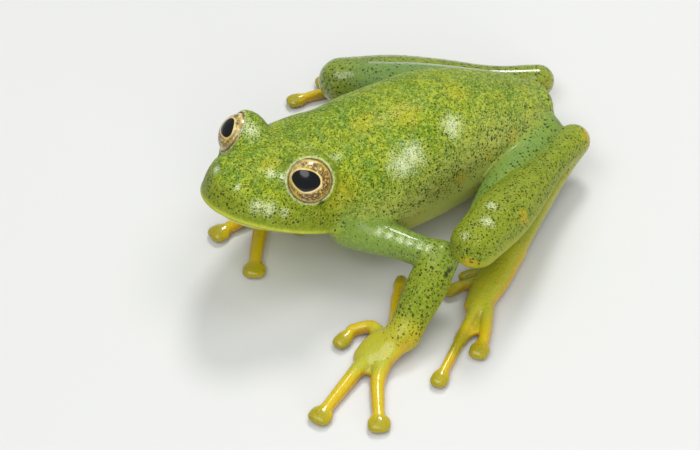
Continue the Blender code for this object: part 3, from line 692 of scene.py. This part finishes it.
def surface_of(grid, low, cell):
    """Points and four-sided faces of the grid's zero level, one point in each cell that it crosses."""
    inside = grid < 0
    shape = np.array(grid.shape) - 1
    count = np.zeros(shape, np.uint8)
    corners = [(i, j, k) for i in (0, 1) for j in (0, 1) for k in (0, 1)]

    def corner(values, i, j, k):
        return values[i:shape[0] + i, j:shape[1] + j, k:shape[2] + k]

    for place in corners:
        count += corner(inside, *place)
    cells = np.argwhere((count > 0) & (count < 8))
    number = np.full(shape, -1, np.int32)
    number[tuple(cells.T)] = np.arange(len(cells))
    total = np.zeros((len(cells), 3))
    crossings = np.zeros(len(cells))
    for a in corners:
        for axis in range(3):
            if a[axis]:
                continue
            b = tuple(1 if i == axis else a[i] for i in range(3))
            one = grid[tuple((cells + a).T)].astype(float)
            two = grid[tuple((cells + b).T)].astype(float)
            cut = (one < 0) != (two < 0)
            share = np.where(cut, one / np.where(cut, one - two, 1.0), 0.0)
            place = np.array(a, float) + share[:, None] * np.eye(3)[axis]
            total += np.where(cut[:, None], place, 0.0)
            crossings += cut
    points = low + (cells + total / crossings[:, None]) * cell
    faces = []
    for axis in range(3):
        u, v = (axis + 1) % 3, (axis + 2) % 3
        step = np.eye(3, dtype=int)[axis]
        ends = [slice(None)] * 3
        starts = [slice(None)] * 3
        starts[axis], ends[axis] = slice(0, -1), slice(1, None)
        first, second = inside[tuple(starts)], inside[tuple(ends)]
        edges = np.argwhere(first != second)
        edges = edges[np.all(edges[:, [u, v]] > 0, axis=1)]
        edges = edges[np.all(edges < shape, axis=1)]
        outward = first[tuple(edges.T)]
        back_u, back_v = np.eye(3, dtype=int)[u], np.eye(3, dtype=int)[v]
        loop = [edges - back_u - back_v, edges - back_v, edges, edges - back_u]
        quad = np.stack([number[tuple(c.T)] for c in loop], axis=1)
        quad[~outward] = quad[~outward][:, ::-1]
        faces.append(quad)
    return points, np.concatenate(faces)


def back_on_surface(form, points):
    """The points moved along the field's slope to where it is zero."""
    step = 0.01

    def moved(batch):
        here = form.distance(batch)
        slopes = np.stack([(form.distance(batch + step * axis) - here) / step for axis in np.eye(3)], axis=1)
        steepness = np.maximum((slopes ** 2).sum(axis=1), 0.25)
        return batch - np.clip(here / steepness, -0.05, 0.05)[:, None] * slopes

    return in_batches(moved, points)


def settle(form, points, faces, rounds):
    """Evens out the points along the surface and puts them back on it."""
    pairs = np.concatenate([faces[:, [i, (i + 1) % 4]] for i in range(4)])
    count = np.bincount(pairs[:, 0], minlength=len(points)) + np.bincount(pairs[:, 1], minlength=len(points))
    for turn in range(rounds + 1):
        if turn:
            mean = np.zeros_like(points)
            for axis in range(3):
                mean[:, axis] = (
                    np.bincount(pairs[:, 0], points[pairs[:, 1], axis], len(points))
                    + np.bincount(pairs[:, 1], points[pairs[:, 0], axis], len(points))
                )
            points = 0.5 * points + 0.5 * mean / count[:, None]
        points = back_on_surface(form, points)
    return points


def mesh_of(name, points, faces):
    mesh = bpy.data.meshes.new(name)
    mesh.vertices.add(len(points))
    mesh.vertices.foreach_set("co", np.asarray(points, np.float32).ravel())
    mesh.loops.add(faces.size)
    mesh.loops.foreach_set("vertex_index", faces.astype(np.int32).ravel())
    mesh.polygons.add(len(faces))
    mesh.polygons.foreach_set("loop_start", np.arange(0, faces.size, faces.shape[1], dtype=np.int32))
    mesh.update(calc_edges=True)
    mesh.validate()
    mesh.shade_smooth()
    return mesh


def add_mask(mesh, name, values):
    values = np.asarray(values, np.float32)
    kind = "FLOAT_VECTOR" if values.ndim == 2 else "FLOAT"
    attribute = mesh.attributes.new(name, kind, "POINT")
    attribute.data.foreach_set("vector" if values.ndim == 2 else "value", values.ravel())


def near_patches(points, patches):
    """1 in the middle of each patch, falling to 0 at its edge."""
    found = np.zeros(len(points))
    for x, y, z, radius in patches:
        found = np.maximum(found, 1 - from_place(points, (x, y, z)) / radius)
    return found


def from_line(points, start, end):
    """How far each point is from the line between two others."""
    step = np.array(end) - start
    share = np.clip((points - start) @ step / (step @ step), 0.0, 1.0)
    return np.linalg.norm(points - start - share[:, None] * step, axis=1)


def skin_masks(form, points, normals):
    """Where on the skin each colour and mark lies, from 0 to 1."""
    parts = form.parts(points)
    group = {"torso": parts["torso"], "head": parts["head"]}
    for name in LIMB_PARTS:
        group[name] = np.minimum(parts[f"{name}_left"], parts[f"{name}_right"])
    weight = {name: np.exp(-np.clip(d, -1.0, 9.0) / 0.25) for name, d in group.items()}
    whole = sum(weight.values())
    share = {name: w / whole for name, w in weight.items()}
    up = normals[:, 2]
    local = (points - np.array(HEAD_AT)) @ np.array(HEAD.to_3x3())
    above_lip = local[:, 2] - lip_level(local[:, 1])
    behind = points[:, 1]
    flank_level = 4.6 + 0.16 * (np.minimum(behind, 5.0) + 2) - 0.5 * np.clip(behind - 5.0, 0.0, None)
    torso_top = smooth_step(-1.3, 0.7, points[:, 2] - flank_level)
    head_top = smooth_step(-0.5, -0.15, above_lip)
    limb_top = smooth_step(-0.3, 0.25, up)
    feet = share["hand"] + share["foot"]
    lid, elbow, middle, tip = (np.full(len(points), NOWHERE) for _ in range(4))
    for side in SIDES:
        lid = np.minimum(lid, near(form.sides[side]["eye"]["lid"], points))
        elbow = np.minimum(elbow, from_place(points, ELBOW[side]))
        middle = np.minimum(middle, from_line(points, WRIST[side], KNUCKLES[side]))
        middle = np.minimum(middle, from_line(points, INSTEP[side], TOE_FORK[side]))
        for digit in (*FINGERS[side], *TOES[side]):
            tip = np.minimum(tip, from_place(points, digit[-1]))
    far_leg = (share["thigh"] + share["shank"]) * smooth_step(0.0, 1.0, -points[:, 0])
    crown = smooth_step(1.0, 2.6, above_lip)
    return {
        "back": share["torso"] * torso_top + share["head"] * crown,
        "belly": share["torso"] * (1 - torso_top) + share["head"] * (1 - head_top),
        "arm": share["upper_arm"] + 0.5 * share["forearm"] * (1 - limb_top),
        "teal": share["thigh"] + 0.25 * share["upper_arm"],
        "feet": feet,
        "palm": feet * (1 - smooth_step(1.2, 2.7, middle)) + 0.55 * share["tarsus"],
        "tip": feet * (1 - smooth_step(0.7, 1.5, tip)),
        "side": (feet + 0.25 * share["tarsus"]) * (1 - smooth_step(0.35, 0.93, up)),
        "wet": feet + share["tarsus"] + far_leg + 0.6 * share["upper_arm"] + 0.25 * share["thigh"],
        "under": (share["shank"] + share["forearm"]) * (1 - smooth_step(-0.35, 0.35, up)),
        "dots": (
            share["torso"] * torso_top + share["head"] * smooth_step(0.25, 0.7, above_lip)
            + (share["shank"] + share["forearm"]) * limb_top
            + 0.45 * share["thigh"] * limb_top
            + share["upper_arm"] * limb_top * (0.12 + 0.7 * (1 - smooth_step(1.5, 4.5, elbow)))
        ),
        "limb": (
            share["tarsus"] + share["shank"] + share["forearm"] + share["thigh"]
            + share["head"] * (1 - smooth_step(0.9, 2.4, above_lip)) * head_top
        ),
        "pale": share["torso"] * (1 - smooth_step(0.3, 4.6, points[:, 2] - flank_level)),
        "lip": (
            share["head"] * np.exp(-(above_lip / 0.12) ** 2)
            * smooth_step(JAW_CORNER - 0.2, JAW_CORNER + 2.2, local[:, 1])
        ),
        "lid": 1 - smooth_step(-0.01, 0.04, lid),
        # Painted highlights: where the whitish sheen of wet skin is painted.
        "white": near_patches(points, PAINTED_SHEEN_PATCHES),
        "yellow": near_patches(points, YELLOW_PATCHES),
        "orange": near_patches(points, ORANGE_PATCHES),
        "spot": smooth_step(0.0, 0.5, near_patches(points, DARK_SPOTS)),
    }


def maths_method(operation, reflected=False):
    """A method that adds a Math node for one of Python's operators."""
    if reflected:
        return lambda self, other: self.maths(operation, other, self)
    return lambda self, other: self.maths(operation, self, other)


class Link:
    """An output socket of a node tree. Sums on it add Math nodes."""

    def __init__(self, sheet, socket):
        self.sheet, self.socket = sheet, socket

    def maths(self, operation, *values):
        return self.sheet.add("ShaderNodeMath", {"operation": operation}, dict(enumerate(values)))

    __add__, __radd__ = maths_method("ADD"), maths_method("ADD", True)
    __sub__, __rsub__ = maths_method("SUBTRACT"), maths_method("SUBTRACT", True)
    __mul__, __rmul__ = maths_method("MULTIPLY"), maths_method("MULTIPLY", True)
    __truediv__ = maths_method("DIVIDE")
    __pow__ = maths_method("POWER")

    def __abs__(self):
        return self.maths("ABSOLUTE", self)

    def root(self):
        return self.maths("SQRT", self)

    def or_more(self, other):
        return self.maths("MAXIMUM", self, other)


class Sheet:
    """One material, the nodes on it and the colour that has been painted so far."""

    def __init__(self, name, tone=None):
        self.tone = tone
        self.material = bpy.data.materials.new(name)
        self.material.use_nodes = True
        self.tree = self.material.node_tree
        self.tree.nodes.clear()

    def add(self, kind, settings=None, inputs=None, output=0):
        """A node with its settings made first, then the values or links of its sockets."""
        node = self.tree.nodes.new(kind)
        for name, value in (settings or {}).items():
            if name == "stops":
                self.set_stops(node.color_ramp, value)
            else:
                setattr(node, name, value)
        for name, value in (inputs or {}).items():
            if isinstance(value, Link):
                self.tree.links.new(value.socket, node.inputs[name])
            elif value is not None:
                node.inputs[name].default_value = value
        return Link(self, node.outputs[output]) if len(node.outputs) else node

    def set_stops(self, ramp, stops):
        while len(ramp.elements) < len(stops):
            ramp.elements.new(0.5)
        for element, (place, colour) in zip(ramp.elements, stops):
            element.position = place
            element.color = (*colour, 1.0)

    def mask(self, name):
        return self.add("ShaderNodeAttribute", {"attribute_name": name}, output="Fac")

    def step(self, low, high, value):
        """A smooth climb from 0 at low to 1 at high."""
        settings = {"interpolation_type": "SMOOTHSTEP", "clamp": True}
        return self.add(
            "ShaderNodeMapRange", settings,
            {"Value": value, "From Min": low, "From Max": high, "To Min": 0.0, "To Max": 1.0},
        )

    def mix(self, share, one, two):
        """One colour turned into another by a share from 0 to 1."""
        node = self.add("ShaderNodeMix", {"data_type": "RGBA"}, {0: share}).socket.node
        for socket, value in ((node.inputs[6], one), (node.inputs[7], two)):
            if isinstance(value, Link):
                self.tree.links.new(value.socket, socket)
            else:
                socket.default_value = (*value[:3], 1.0)
        return Link(self, node.outputs[2])

    def paint(self, share, colour):
        """Lays a colour over what is painted, by a share from 0 to 1."""
        self.tone = self.mix(share, self.tone, colour)

    def parts(self, vector):
        """The x, y and z of a vector."""
        node = self.add("ShaderNodeSeparateXYZ", {}, {0: vector}).socket.node
        return [Link(self, output) for output in node.outputs]

    def noise(self, place, scale, detail=2.0, output="Fac"):
        return self.add("ShaderNodeTexNoise", {}, {"Vector": place, "Scale": scale, "Detail": detail}, output)

    def cells(self, place, scale, output="Distance"):
        inputs = {"Vector": place, "Scale": scale, "Randomness": 0.85}
        return self.add("ShaderNodeTexVoronoi", {}, inputs, output)

    def finish(self, inputs):
        """The skin or eye shader, its sockets by name, joined to the output."""
        shader = self.add("ShaderNodeBsdfPrincipled", {}, inputs)
        self.add("ShaderNodeOutputMaterial", {}, {"Surface": shader})
        return self.material


def dots(sheet, place, scale, size, share):
    """Small round marks, at random places and of random sizes. A share of 1 keeps all of them."""
    distance = sheet.cells(place, scale)
    colour = sheet.cells(place, scale, "Color")
    chance = sheet.add("ShaderNodeSeparateColor", {}, {"Color": colour}, "Red")
    kept = sheet.step(-0.05, 0.05, share - chance)
    edge = size * (0.75 + 0.45 * sheet.add("ShaderNodeSeparateColor", {}, {"Color": colour}, "Green"))
    return (1.0 - sheet.step(-0.07, 0.07, distance - edge)) * kept


def skin_material(look):
    sheet = Sheet("frog_skin", look.green)
    raw = sheet.add("ShaderNodeTexCoord", {}, {}, "Object")
    place = sheet.add("ShaderNodeVectorMath", {"operation": "SCALE"}, {0: raw, "Scale": 1 / MM})
    ripple = sheet.noise(place, 4.0, 2.0, "Color")
    shifted = sheet.add(
        "ShaderNodeVectorMath", {"operation": "MULTIPLY_ADD"}, {0: ripple, 1: (0.14,) * 3, 2: place}
    )
    broad = sheet.noise(place, 0.45, 2.0)
    middle = sheet.noise(place, 1.5, 3.0)
    fine = sheet.noise(shifted, 4.2, 3.0)
    grain = sheet.noise(place, 8.0, 3.0)
    back, belly, feet = sheet.mask("back"), sheet.mask("belly"), sheet.mask("feet")
    limb, pale, lip, lid = sheet.mask("limb"), sheet.mask("pale"), sheet.mask("lip"), sheet.mask("lid")
    coarse = limb + pale

    sheet.paint(sheet.step(0.36, 0.62, broad), look.yellow_green)
    light = sheet.step(0.44, 0.6, fine)
    sheet.paint(light * 0.6, look.pale_green)
    dark = sheet.step(0.5, 0.66, grain) * (1.0 - light)
    sheet.paint(dark * (1.0 - feet) * (1.0 - belly) * (0.6 - 0.35 * coarse), look.dark_green)
    sheet.paint(0.6 * limb, look.limb_green)
    sheet.paint(pale * (0.7 + 0.8 * (middle - 0.5)), look.pale_flank)
    teal = sheet.step(0.48, 0.62, middle) * (1.0 - light * 0.6)
    sheet.paint(teal * back * 0.5 * (1.0 - 0.7 * pale), look.teal)
    edge = sheet.add(
        "ShaderNodeTexVoronoi", {"feature": "DISTANCE_TO_EDGE"}, {"Vector": shifted, "Scale": 3.6}, "Distance"
    )
    net = (1.0 - sheet.step(0.02, 0.16, edge)) * sheet.step(0.4, 0.6, sheet.noise(place, 2.2, 1.0))
    sheet.paint(net * back * 0.65, look.dark_green)
    yellow = sheet.step(0.15, 0.75, sheet.mask("yellow") + 1.6 * (middle - 0.5))
    sheet.paint(yellow * 0.35, look.fleck)
    sheet.paint(sheet.mask("teal") * (0.75 + 0.6 * (middle - 0.5)), look.pale_teal)
    sheet.paint(sheet.mask("arm") * 0.75, look.pale_limb)
    # The pale belly and flank; their colours also hold painted light for the shade under the body.
    sheet.paint(belly * 0.9, sheet.mix(sheet.step(0.4, 0.65, broad), look.belly, look.flank))
    sheet.paint(sheet.mask("under") * 0.6, look.under)
    sheet.paint(feet, look.gold)
    palm = sheet.mask("palm") * (0.7 + 0.7 * (middle - 0.5))
    sheet.paint(palm, look.lime)
    sheet.paint(sheet.mask("side") * 0.75, look.amber)
    sheet.paint(sheet.mask("tip") * 0.75, look.olive)
    orange = sheet.step(0.1, 0.8, sheet.mask("orange") + 1.2 * (fine - 0.5))
    sheet.paint(orange * 0.5, look.orange)
    sheet.paint(lip * 0.5, look.lip)
    # Painted highlights: the speckled whitish sheen of wet skin over the sheen patches.
    speckle = sheet.noise(place, 13.0, 1.0)
    white = sheet.step(0.15, 1.1, sheet.mask("white") + 1.8 * (speckle - 0.5) + 0.6 * (middle - 0.5))
    sheet.paint(white * 0.68, look.white)

    share = sheet.mask("dots") * (1.0 - lid)
    large = dots(sheet, shifted, 3.7, 0.29, share * (0.1 + 0.95 * coarse))
    small = dots(sheet, shifted, 6.6, 0.33, share * (1.1 - 0.4 * coarse))
    marks = large.or_more(small * 0.85)
    # The dark dots, fainter under the painted highlights.
    sheet.paint(marks * (0.9 - 0.3 * white), look.dot)
    sheet.paint(lid * (0.6 + 1.6 * (speckle - 0.5)), look.lid)
    sheet.paint(sheet.mask("spot") * 0.9, look.dot)

    soft = feet + 1.6 * sheet.mask("arm")
    height = grain * (0.5 + 0.5 * share + 0.6 * soft) + fine * (0.6 * share + 1.5 * soft) - 0.3 * marks
    relief = {"Strength": 0.6, "Distance": 0.0001, "Height": height}
    bump = sheet.add("ShaderNodeBump", {}, relief, "Normal")
    return sheet.finish({
        "Base Color": sheet.tone,
        "Roughness": 0.42 + 0.16 * grain - 0.2 * feet,
        "Normal": bump,
        "IOR": 1.42,
        "Subsurface Weight": 0.2,
        "Subsurface Radius": (0.9, 1.0, 0.3),
        "Subsurface Scale": 0.0006,
        "Specular IOR Level": 0.2,
        "Coat Weight": 0.02 + 0.88 * sheet.mask("wet"),
        "Coat Roughness": 0.15,
    })


def eye_material(look):
    """A golden iris netted with dark brown, a black pupil wider than high and a clear surface."""
    sheet = Sheet("frog_eye", look.iris_gold)
    local = sheet.add("ShaderNodeAttribute", {"attribute_name": "eye_place"}, output="Vector")
    back, up, depth = sheet.parts(local)
    aside = sheet.add("ShaderNodeAttribute", {"attribute_name": "pupil_place"}, output="Vector")
    x, y, _ = sheet.parts(aside)
    away = (back * back + up * up).root()
    in_front = sheet.step(0.0, 0.2, depth)

    def blunt(height, power):
        return (abs(x) / look.pupil_width) ** power + (abs(y) / height) ** power

    above = sheet.step(-0.08, 0.08, y)
    pupil = blunt(look.pupil_top, 2.2) * above + blunt(look.pupil_bottom, 1.6) * (1.0 - above)
    marble = sheet.noise(local, 2.6, 2.0)
    low_side = sheet.step(-0.5, 1.1, 0.6 * back - up)
    sheet.paint(sheet.step(0.4, 0.6, sheet.noise(local, 1.3, 1.0)), look.iris_cream)
    sheet.paint(low_side * 0.6, look.iris_orange)
    sheet.paint(sheet.step(0.44, 0.6, marble) * 0.5, look.iris_tan)
    veins = 1.0 - sheet.step(0.02, 0.11, abs(sheet.noise(local, 3.9, 4.0) - 0.5))
    finer = 1.0 - sheet.step(0.02, 0.12, abs(sheet.noise(local, 8.0, 2.0) - 0.5))
    outer = sheet.step(1.12, 1.55, pupil) * (1.0 - 0.7 * sheet.step(1.2, 1.38, away))
    sheet.paint(veins * outer * (0.7 + 0.25 * low_side), look.iris_brown)
    sheet.paint(finer * outer * sheet.step(0.4, 0.55, marble) * 0.85, look.iris_brown)
    rim = 1.0 - sheet.step(0.04, 0.2, abs(pupil - 1.13))
    sheet.paint(rim * (0.15 + 0.6 * low_side), look.iris_rim)
    ring = 1.0 - sheet.step(0.01, 0.06, abs(away - 1.42))
    corners = sheet.step(0.3, 1.3, abs(back + 0.4 * up))
    sheet.paint(ring * (0.25 + 0.6 * corners), look.iris_brown)
    sheet.paint(sheet.step(1.45, 1.52, away), look.eye_ring)
    sheet.paint((1.0 - sheet.step(0.95, 1.05, pupil)) * in_front, look.pupil)
    return sheet.finish({
        "Base Color": sheet.tone,
        "Roughness": 0.4,
        "IOR": 1.4,
        "Specular IOR Level": 0.1,
        "Coat Weight": 1.0,
        "Coat Roughness": 0.14,
    })


def eye_mesh(name, sign, roll, around=96, rings=64):
    """An eyeball turned about its axis."""
    axis = eye_axis(sign)
    flat = -head_way(0, 1, 0) * sign
    flat = flat - (flat @ axis) * axis
    flat /= np.linalg.norm(flat)
    rise = np.cross(axis, flat)
    places = [(0.0, 0.0, EYE_RADIUS)]
    for i in range(1, rings):
        tilt = math.pi * i / rings
        for k in range(around):
            turn = 2 * math.pi * k / around
            places.append((
                EYE_RADIUS * math.sin(tilt) * math.cos(turn),
                EYE_RADIUS * math.sin(tilt) * math.sin(turn),
                EYE_RADIUS * math.cos(tilt),
            ))
    places.append((0.0, 0.0, -EYE_RADIUS))
    faces = []
    last = len(places) - 1
    for k in range(around):
        j = (k + 1) % around
        faces.append((0, 1 + k, 1 + j))
        for i in range(rings - 2):
            a, b = 1 + i * around, 1 + (i + 1) * around
            faces.append((a + k, b + k, b + j, a + j))
        a = 1 + (rings - 2) * around
        faces.append((a + k, last, a + j))
    local = np.array(places)
    turned = local @ np.array((flat, rise, axis)) + eye_centre(sign)
    mesh = bpy.data.meshes.new(name)
    mesh.from_pydata((turned + frog_to_part()) * MM, [], faces)
    mesh.update()
    mesh.shade_smooth()
    backward, up = local[:, 0] * sign, local[:, 1]
    add_mask(mesh, "eye_place", np.stack([backward, up, local[:, 2]], axis=1))
    turn, aside, lift, size = PUPIL[sign]
    roll = roll + math.radians(turn)
    backward, up = (backward - aside) / size, (up - lift) / size
    c, s = math.cos(roll), math.sin(roll)
    turned = (backward * c - up * s, backward * s + up * c)
    add_mask(mesh, "pupil_place", np.stack([*turned, local[:, 2]], axis=1))
    return mesh


def show(name, mesh, material):
    made = bpy.data.objects.new(name, mesh)
    bpy.context.scene.collection.objects.link(made)
    mesh.materials.append(material)
    return made


def colour(name, description, value):
    return bpy.props.FloatVectorProperty(
        name=name, description=description, default=value, subtype="COLOR", size=3, min=0.0, max=1.0
    )


def number_setting(name, description, value, **more):
    return bpy.props.FloatProperty(name=name, description=description, default=value, **more)


def angle_setting(name, description, degrees):
    value = math.radians(degrees)
    return number_setting(name, description, value, subtype="ANGLE", unit="ROTATION")


class FrogSkinSettings(bpy.types.PropertyGroup):
    cell: number_setting(
        "Grain of the mesh", "Distance between the skin's points, in millimetres", 0.1, min=0.05, max=0.3
    )
    green: colour("Green", "The back's darker green", (0.15, 0.25, 0.006))
    yellow_green: colour("Yellow-green", "The back's lighter green", (0.25, 0.32, 0.010))
    pale_green: colour("Pale green", "The light mottling", (0.42, 0.47, 0.05))
    dark_green: colour("Dark green", "The dark net of the back", (0.05, 0.11, 0.006))
    teal: colour("Teal", "The bluish mottling of the back", (0.13, 0.27, 0.045))
    limb_green: colour("Limb green", "The duller green of limbs and cheeks", (0.17, 0.21, 0.014))
    pale_flank: colour("Pale flank", "The washed-out lower side of the back", (0.46, 0.47, 0.12))
    fleck: colour("Fleck", "The yellow flecks", (0.55, 0.46, 0.012))
    pale_teal: colour("Pale teal", "The thigh", (0.13, 0.25, 0.055))
    pale_limb: colour("Pale limb", "The smooth upper arm", (0.17, 0.27, 0.045))
    # Belly and flank: the skin's own pale tone, painted lighter still as painted light in the shade under the
    # body.
    belly: colour("Belly", "The smooth belly", (0.52, 0.57, 0.13))
    flank: colour("Flank", "The smooth flank", (0.58, 0.58, 0.10))
    under: colour("Underside", "The lower edges of the limbs", (0.36, 0.36, 0.010))
    lime: colour("Lime", "The greener part of hands and feet", (0.34, 0.39, 0.03))
    gold: colour("Gold", "The golden part of hands and feet", (0.58, 0.43, 0.004))
    amber: colour("Amber", "The sides of the digits", (0.50, 0.25, 0.001))
    olive: colour("Olive", "The discs of the digits", (0.27, 0.25, 0.003))
    orange: colour("Orange", "The small orange marks", (0.60, 0.38, 0.01))
    lip: colour("Lip", "The pale edge of the lip", (0.72, 0.70, 0.09))
    lid: colour("Lid", "The cream edge of the eyelid", (0.72, 0.72, 0.45))
    # The colour of the painted highlights, the whitish sheen of wet skin.
    white: colour("White", "The whitish patches", (0.75, 0.80, 0.50))
    dot: colour("Dot", "The dark dots", (0.016, 0.030, 0.003))


class FrogEyeSettings(bpy.types.PropertyGroup):
    roll: angle_setting("Roll", "How far both pupils are turned from where they look in the pose", 0.0)
    pupil_width: number_setting("Pupil width", "Half of it, in millimetres", 0.95)
    pupil_top: number_setting("Pupil top", "Its height above the middle, in millimetres", 0.7)
    pupil_bottom: number_setting("Pupil bottom", "Its depth below the middle, in millimetres", 0.74)
    iris_gold: colour("Gold", "The iris's main colour", (0.62, 0.45, 0.07))
    iris_cream: colour("Cream", "The iris's light parts", (0.72, 0.58, 0.22))
    iris_orange: colour("Orange", "The lower part of the iris", (0.58, 0.36, 0.10))
    iris_tan: colour("Tan", "The iris's darker parts", (0.34, 0.20, 0.04))
    iris_rim: colour("Rim", "The bright edge of the pupil", (0.85, 0.70, 0.42))
    iris_brown: colour("Brown", "The net of dark lines", (0.07, 0.035, 0.01))
    eye_ring: colour("Ring", "The ring outside the iris", (0.50, 0.40, 0.25))
    pupil: colour("Pupil", "The pupil", (0.002, 0.002, 0.002))


class FrogStageSettings(bpy.types.PropertyGroup):
    floor: colour("Floor", "The floor's colour", (0.62, 0.62, 0.60))
    camera_turn: angle_setting("Camera turn", "The camera's bearing round the frog", 62.5)
    camera_rise: angle_setting("Camera rise", "The camera's height as an angle", 46.0)
    camera_roll: angle_setting("Camera roll", "The camera's lean", -4.6)
    camera_away: number_setting(
        "Camera distance", "From what it looks at", 0.1965, subtype="DISTANCE", unit="LENGTH"
    )


FLESH = ["head", "torso"] + [f"{part}_{side}" for part in LIMB_PARTS for side in SIDES]


class FROG_OT_skin(bpy.types.Operator):
    """Builds the frog's skin as one seamless surface in place of its solids of flesh"""
    bl_idname = "frog.skin"
    bl_label = "Build the skin"

    def execute(self, context):
        look = context.scene.frog_skin
        cell = look.cell
        shift = frog_to_part()
        form = FrogForm()
        box_low, box_high = (np.array(corner) / MM - shift for corner in CAD_BOX)
        low, high = box_low - FIELD_MARGIN, box_high + FIELD_MARGIN
        grid = fill_grid(form, low, high, cell)
        points, faces = surface_of(grid, low, cell)
        if not len(points):
            raise RuntimeError("the skin's field has no surface")
        points = np.clip(settle(form, points, faces, 2), box_low, box_high)
        mesh = mesh_of("skin", (points + shift) * MM, faces)
        normals = np.empty(len(mesh.vertices) * 3, np.float32)
        mesh.vertices.foreach_get("normal", normals)
        for name, values in skin_masks(form, points, normals.reshape(-1, 3)).items():
            add_mask(mesh, name, values)
        skin = show("skin", mesh, skin_material(look))
        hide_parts(*FLESH)
        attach(skin, "root")
        return {"FINISHED"}


class FROG_OT_eyes(bpy.types.Operator):
    """Builds the two eyes"""
    bl_idname = "frog.eyes"
    bl_label = "Build the eyes"

    def execute(self, context):
        look = context.scene.frog_eyes
        material = eye_material(look)
        for side, sign in SIDES.items():
            eye = show(f"eyeball_{side}", eye_mesh(f"eyeball_{side}", sign, look.roll), material)
            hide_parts(f"eye_{side}")
            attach(eye, "root")
        return {"FINISHED"}


class FROG_OT_stage(bpy.types.Operator):
    """Sets a plain pale floor, soft lights and the camera"""
    bl_idname = "frog.stage"
    bl_label = "Set the stage"

    def execute(self, context):
        look = context.scene.frog_stage
        sheet = Sheet("floor_paper")
        floor_material = sheet.finish({"Base Color": (*look.floor, 1.0), "Roughness": 0.8})
        half, drop = 1.5, 0.00002
        corners = np.array([(x * half, y * half, -drop) for x, y in ((-1, -1), (1, -1), (1, 1), (-1, 1))])
        floor = show("floor", mesh_of("floor", corners, np.array([[0, 1, 2, 3]])), floor_material)
        self.light(context)
        self.aim_camera(context, look)
        return {"FINISHED"}

    def light(self, context):
        world = bpy.data.worlds.new("studio")
        context.scene.world = world
        world.use_nodes = True
        backdrop = world.node_tree.nodes["Background"]
        backdrop.inputs["Color"].default_value = (0.9, 0.94, 1.0, 1.0)
        backdrop.inputs["Strength"].default_value = 0.33
        lamps = (
            ("key", (0.02, -0.15, 0.36), (0.34, 0.22), 0.55, True),
            ("top", (0.05, 0.14, 0.34), (0.20, 0.20), 0.34, False),
            ("rear", (-0.14, 0.13, 0.28), (0.09, 0.09), 0.52, True),
            ("side", (0.2, -0.09, 0.22), (0.2, 0.2), 0.3, False),
            ("low", (0.22, -0.02, 0.04), (0.16, 0.06), 0.16, False),
        )
        for name, place, (size, depth), power, shines in lamps:
            lamp = bpy.data.lights.new(name, "AREA")
            lamp.shape = "ELLIPSE"
            lamp.size = size
            lamp.size_y = depth
            lamp.energy = power
            made = bpy.data.objects.new(name, lamp)
            made.location = place
            made.visible_glossy = shines
            made.rotation_euler = (-Vector(place)).to_track_quat("-Z", "Y").to_euler()
            context.scene.collection.objects.link(made)
        context.scene.view_settings.view_transform = "Standard"

    def aim_camera(self, context, look):
        turn, rise = look.camera_turn, look.camera_rise
        back = Vector((math.sin(turn) * math.cos(rise), -math.cos(turn) * math.cos(rise), math.sin(rise)))
        right = Vector((math.cos(turn), math.sin(turn), 0))
        up = back.cross(right)
        roll = look.camera_roll
        right, up = right * math.cos(roll) + up * math.sin(roll), up * math.cos(roll) - right * math.sin(roll)
        aim = Vector((np.array((2.9, -5.5, 4.0)) + frog_to_part()) * MM)
        camera = bpy.data.objects.new("camera", bpy.data.cameras.new("camera"))
        camera.data.lens = 150
        camera.data.sensor_width = 36
        camera.data.clip_start = 0.005
        camera.data.clip_end = 10
        place = Matrix((right, up, back)).transposed().to_4x4()
        camera.matrix_world = Matrix.Translation(aim + back * look.camera_away) @ place
        context.scene.collection.objects.link(camera)
        context.scene.camera = camera


class FROG_PT_panel(bpy.types.Panel):
    """Lists the frog's operators"""
    bl_label = "Glass frog"
    bl_idname = "FROG_PT_panel"
    bl_space_type = "VIEW_3D"
    bl_region_type = "UI"
    bl_category = "Frog"

    def draw(self, context):
        for operator in OPERATORS:
            self.layout.operator(operator.bl_idname)


OPERATORS = (FROG_OT_skin, FROG_OT_eyes, FROG_OT_stage)
SETTINGS = {"frog_skin": FrogSkinSettings, "frog_eyes": FrogEyeSettings, "frog_stage": FrogStageSettings}


def register():
    for settings in SETTINGS.values():
        bpy.utils.register_class(settings)
    for item in (*OPERATORS, FROG_PT_panel):
        bpy.utils.register_class(item)
    for name, settings in SETTINGS.items():
        setattr(bpy.types.Scene, name, bpy.props.PointerProperty(type=settings))


def unregister():
    for name in SETTINGS:
        delattr(bpy.types.Scene, name)
    for item in (FROG_PT_panel, *reversed(OPERATORS), *SETTINGS.values()):
        bpy.utils.unregister_class(item)


def main():
    register()
    bpy.ops.frog.skin()
    bpy.ops.frog.eyes()
    bpy.ops.frog.stage()


if __name__ == "__main__":
    main()
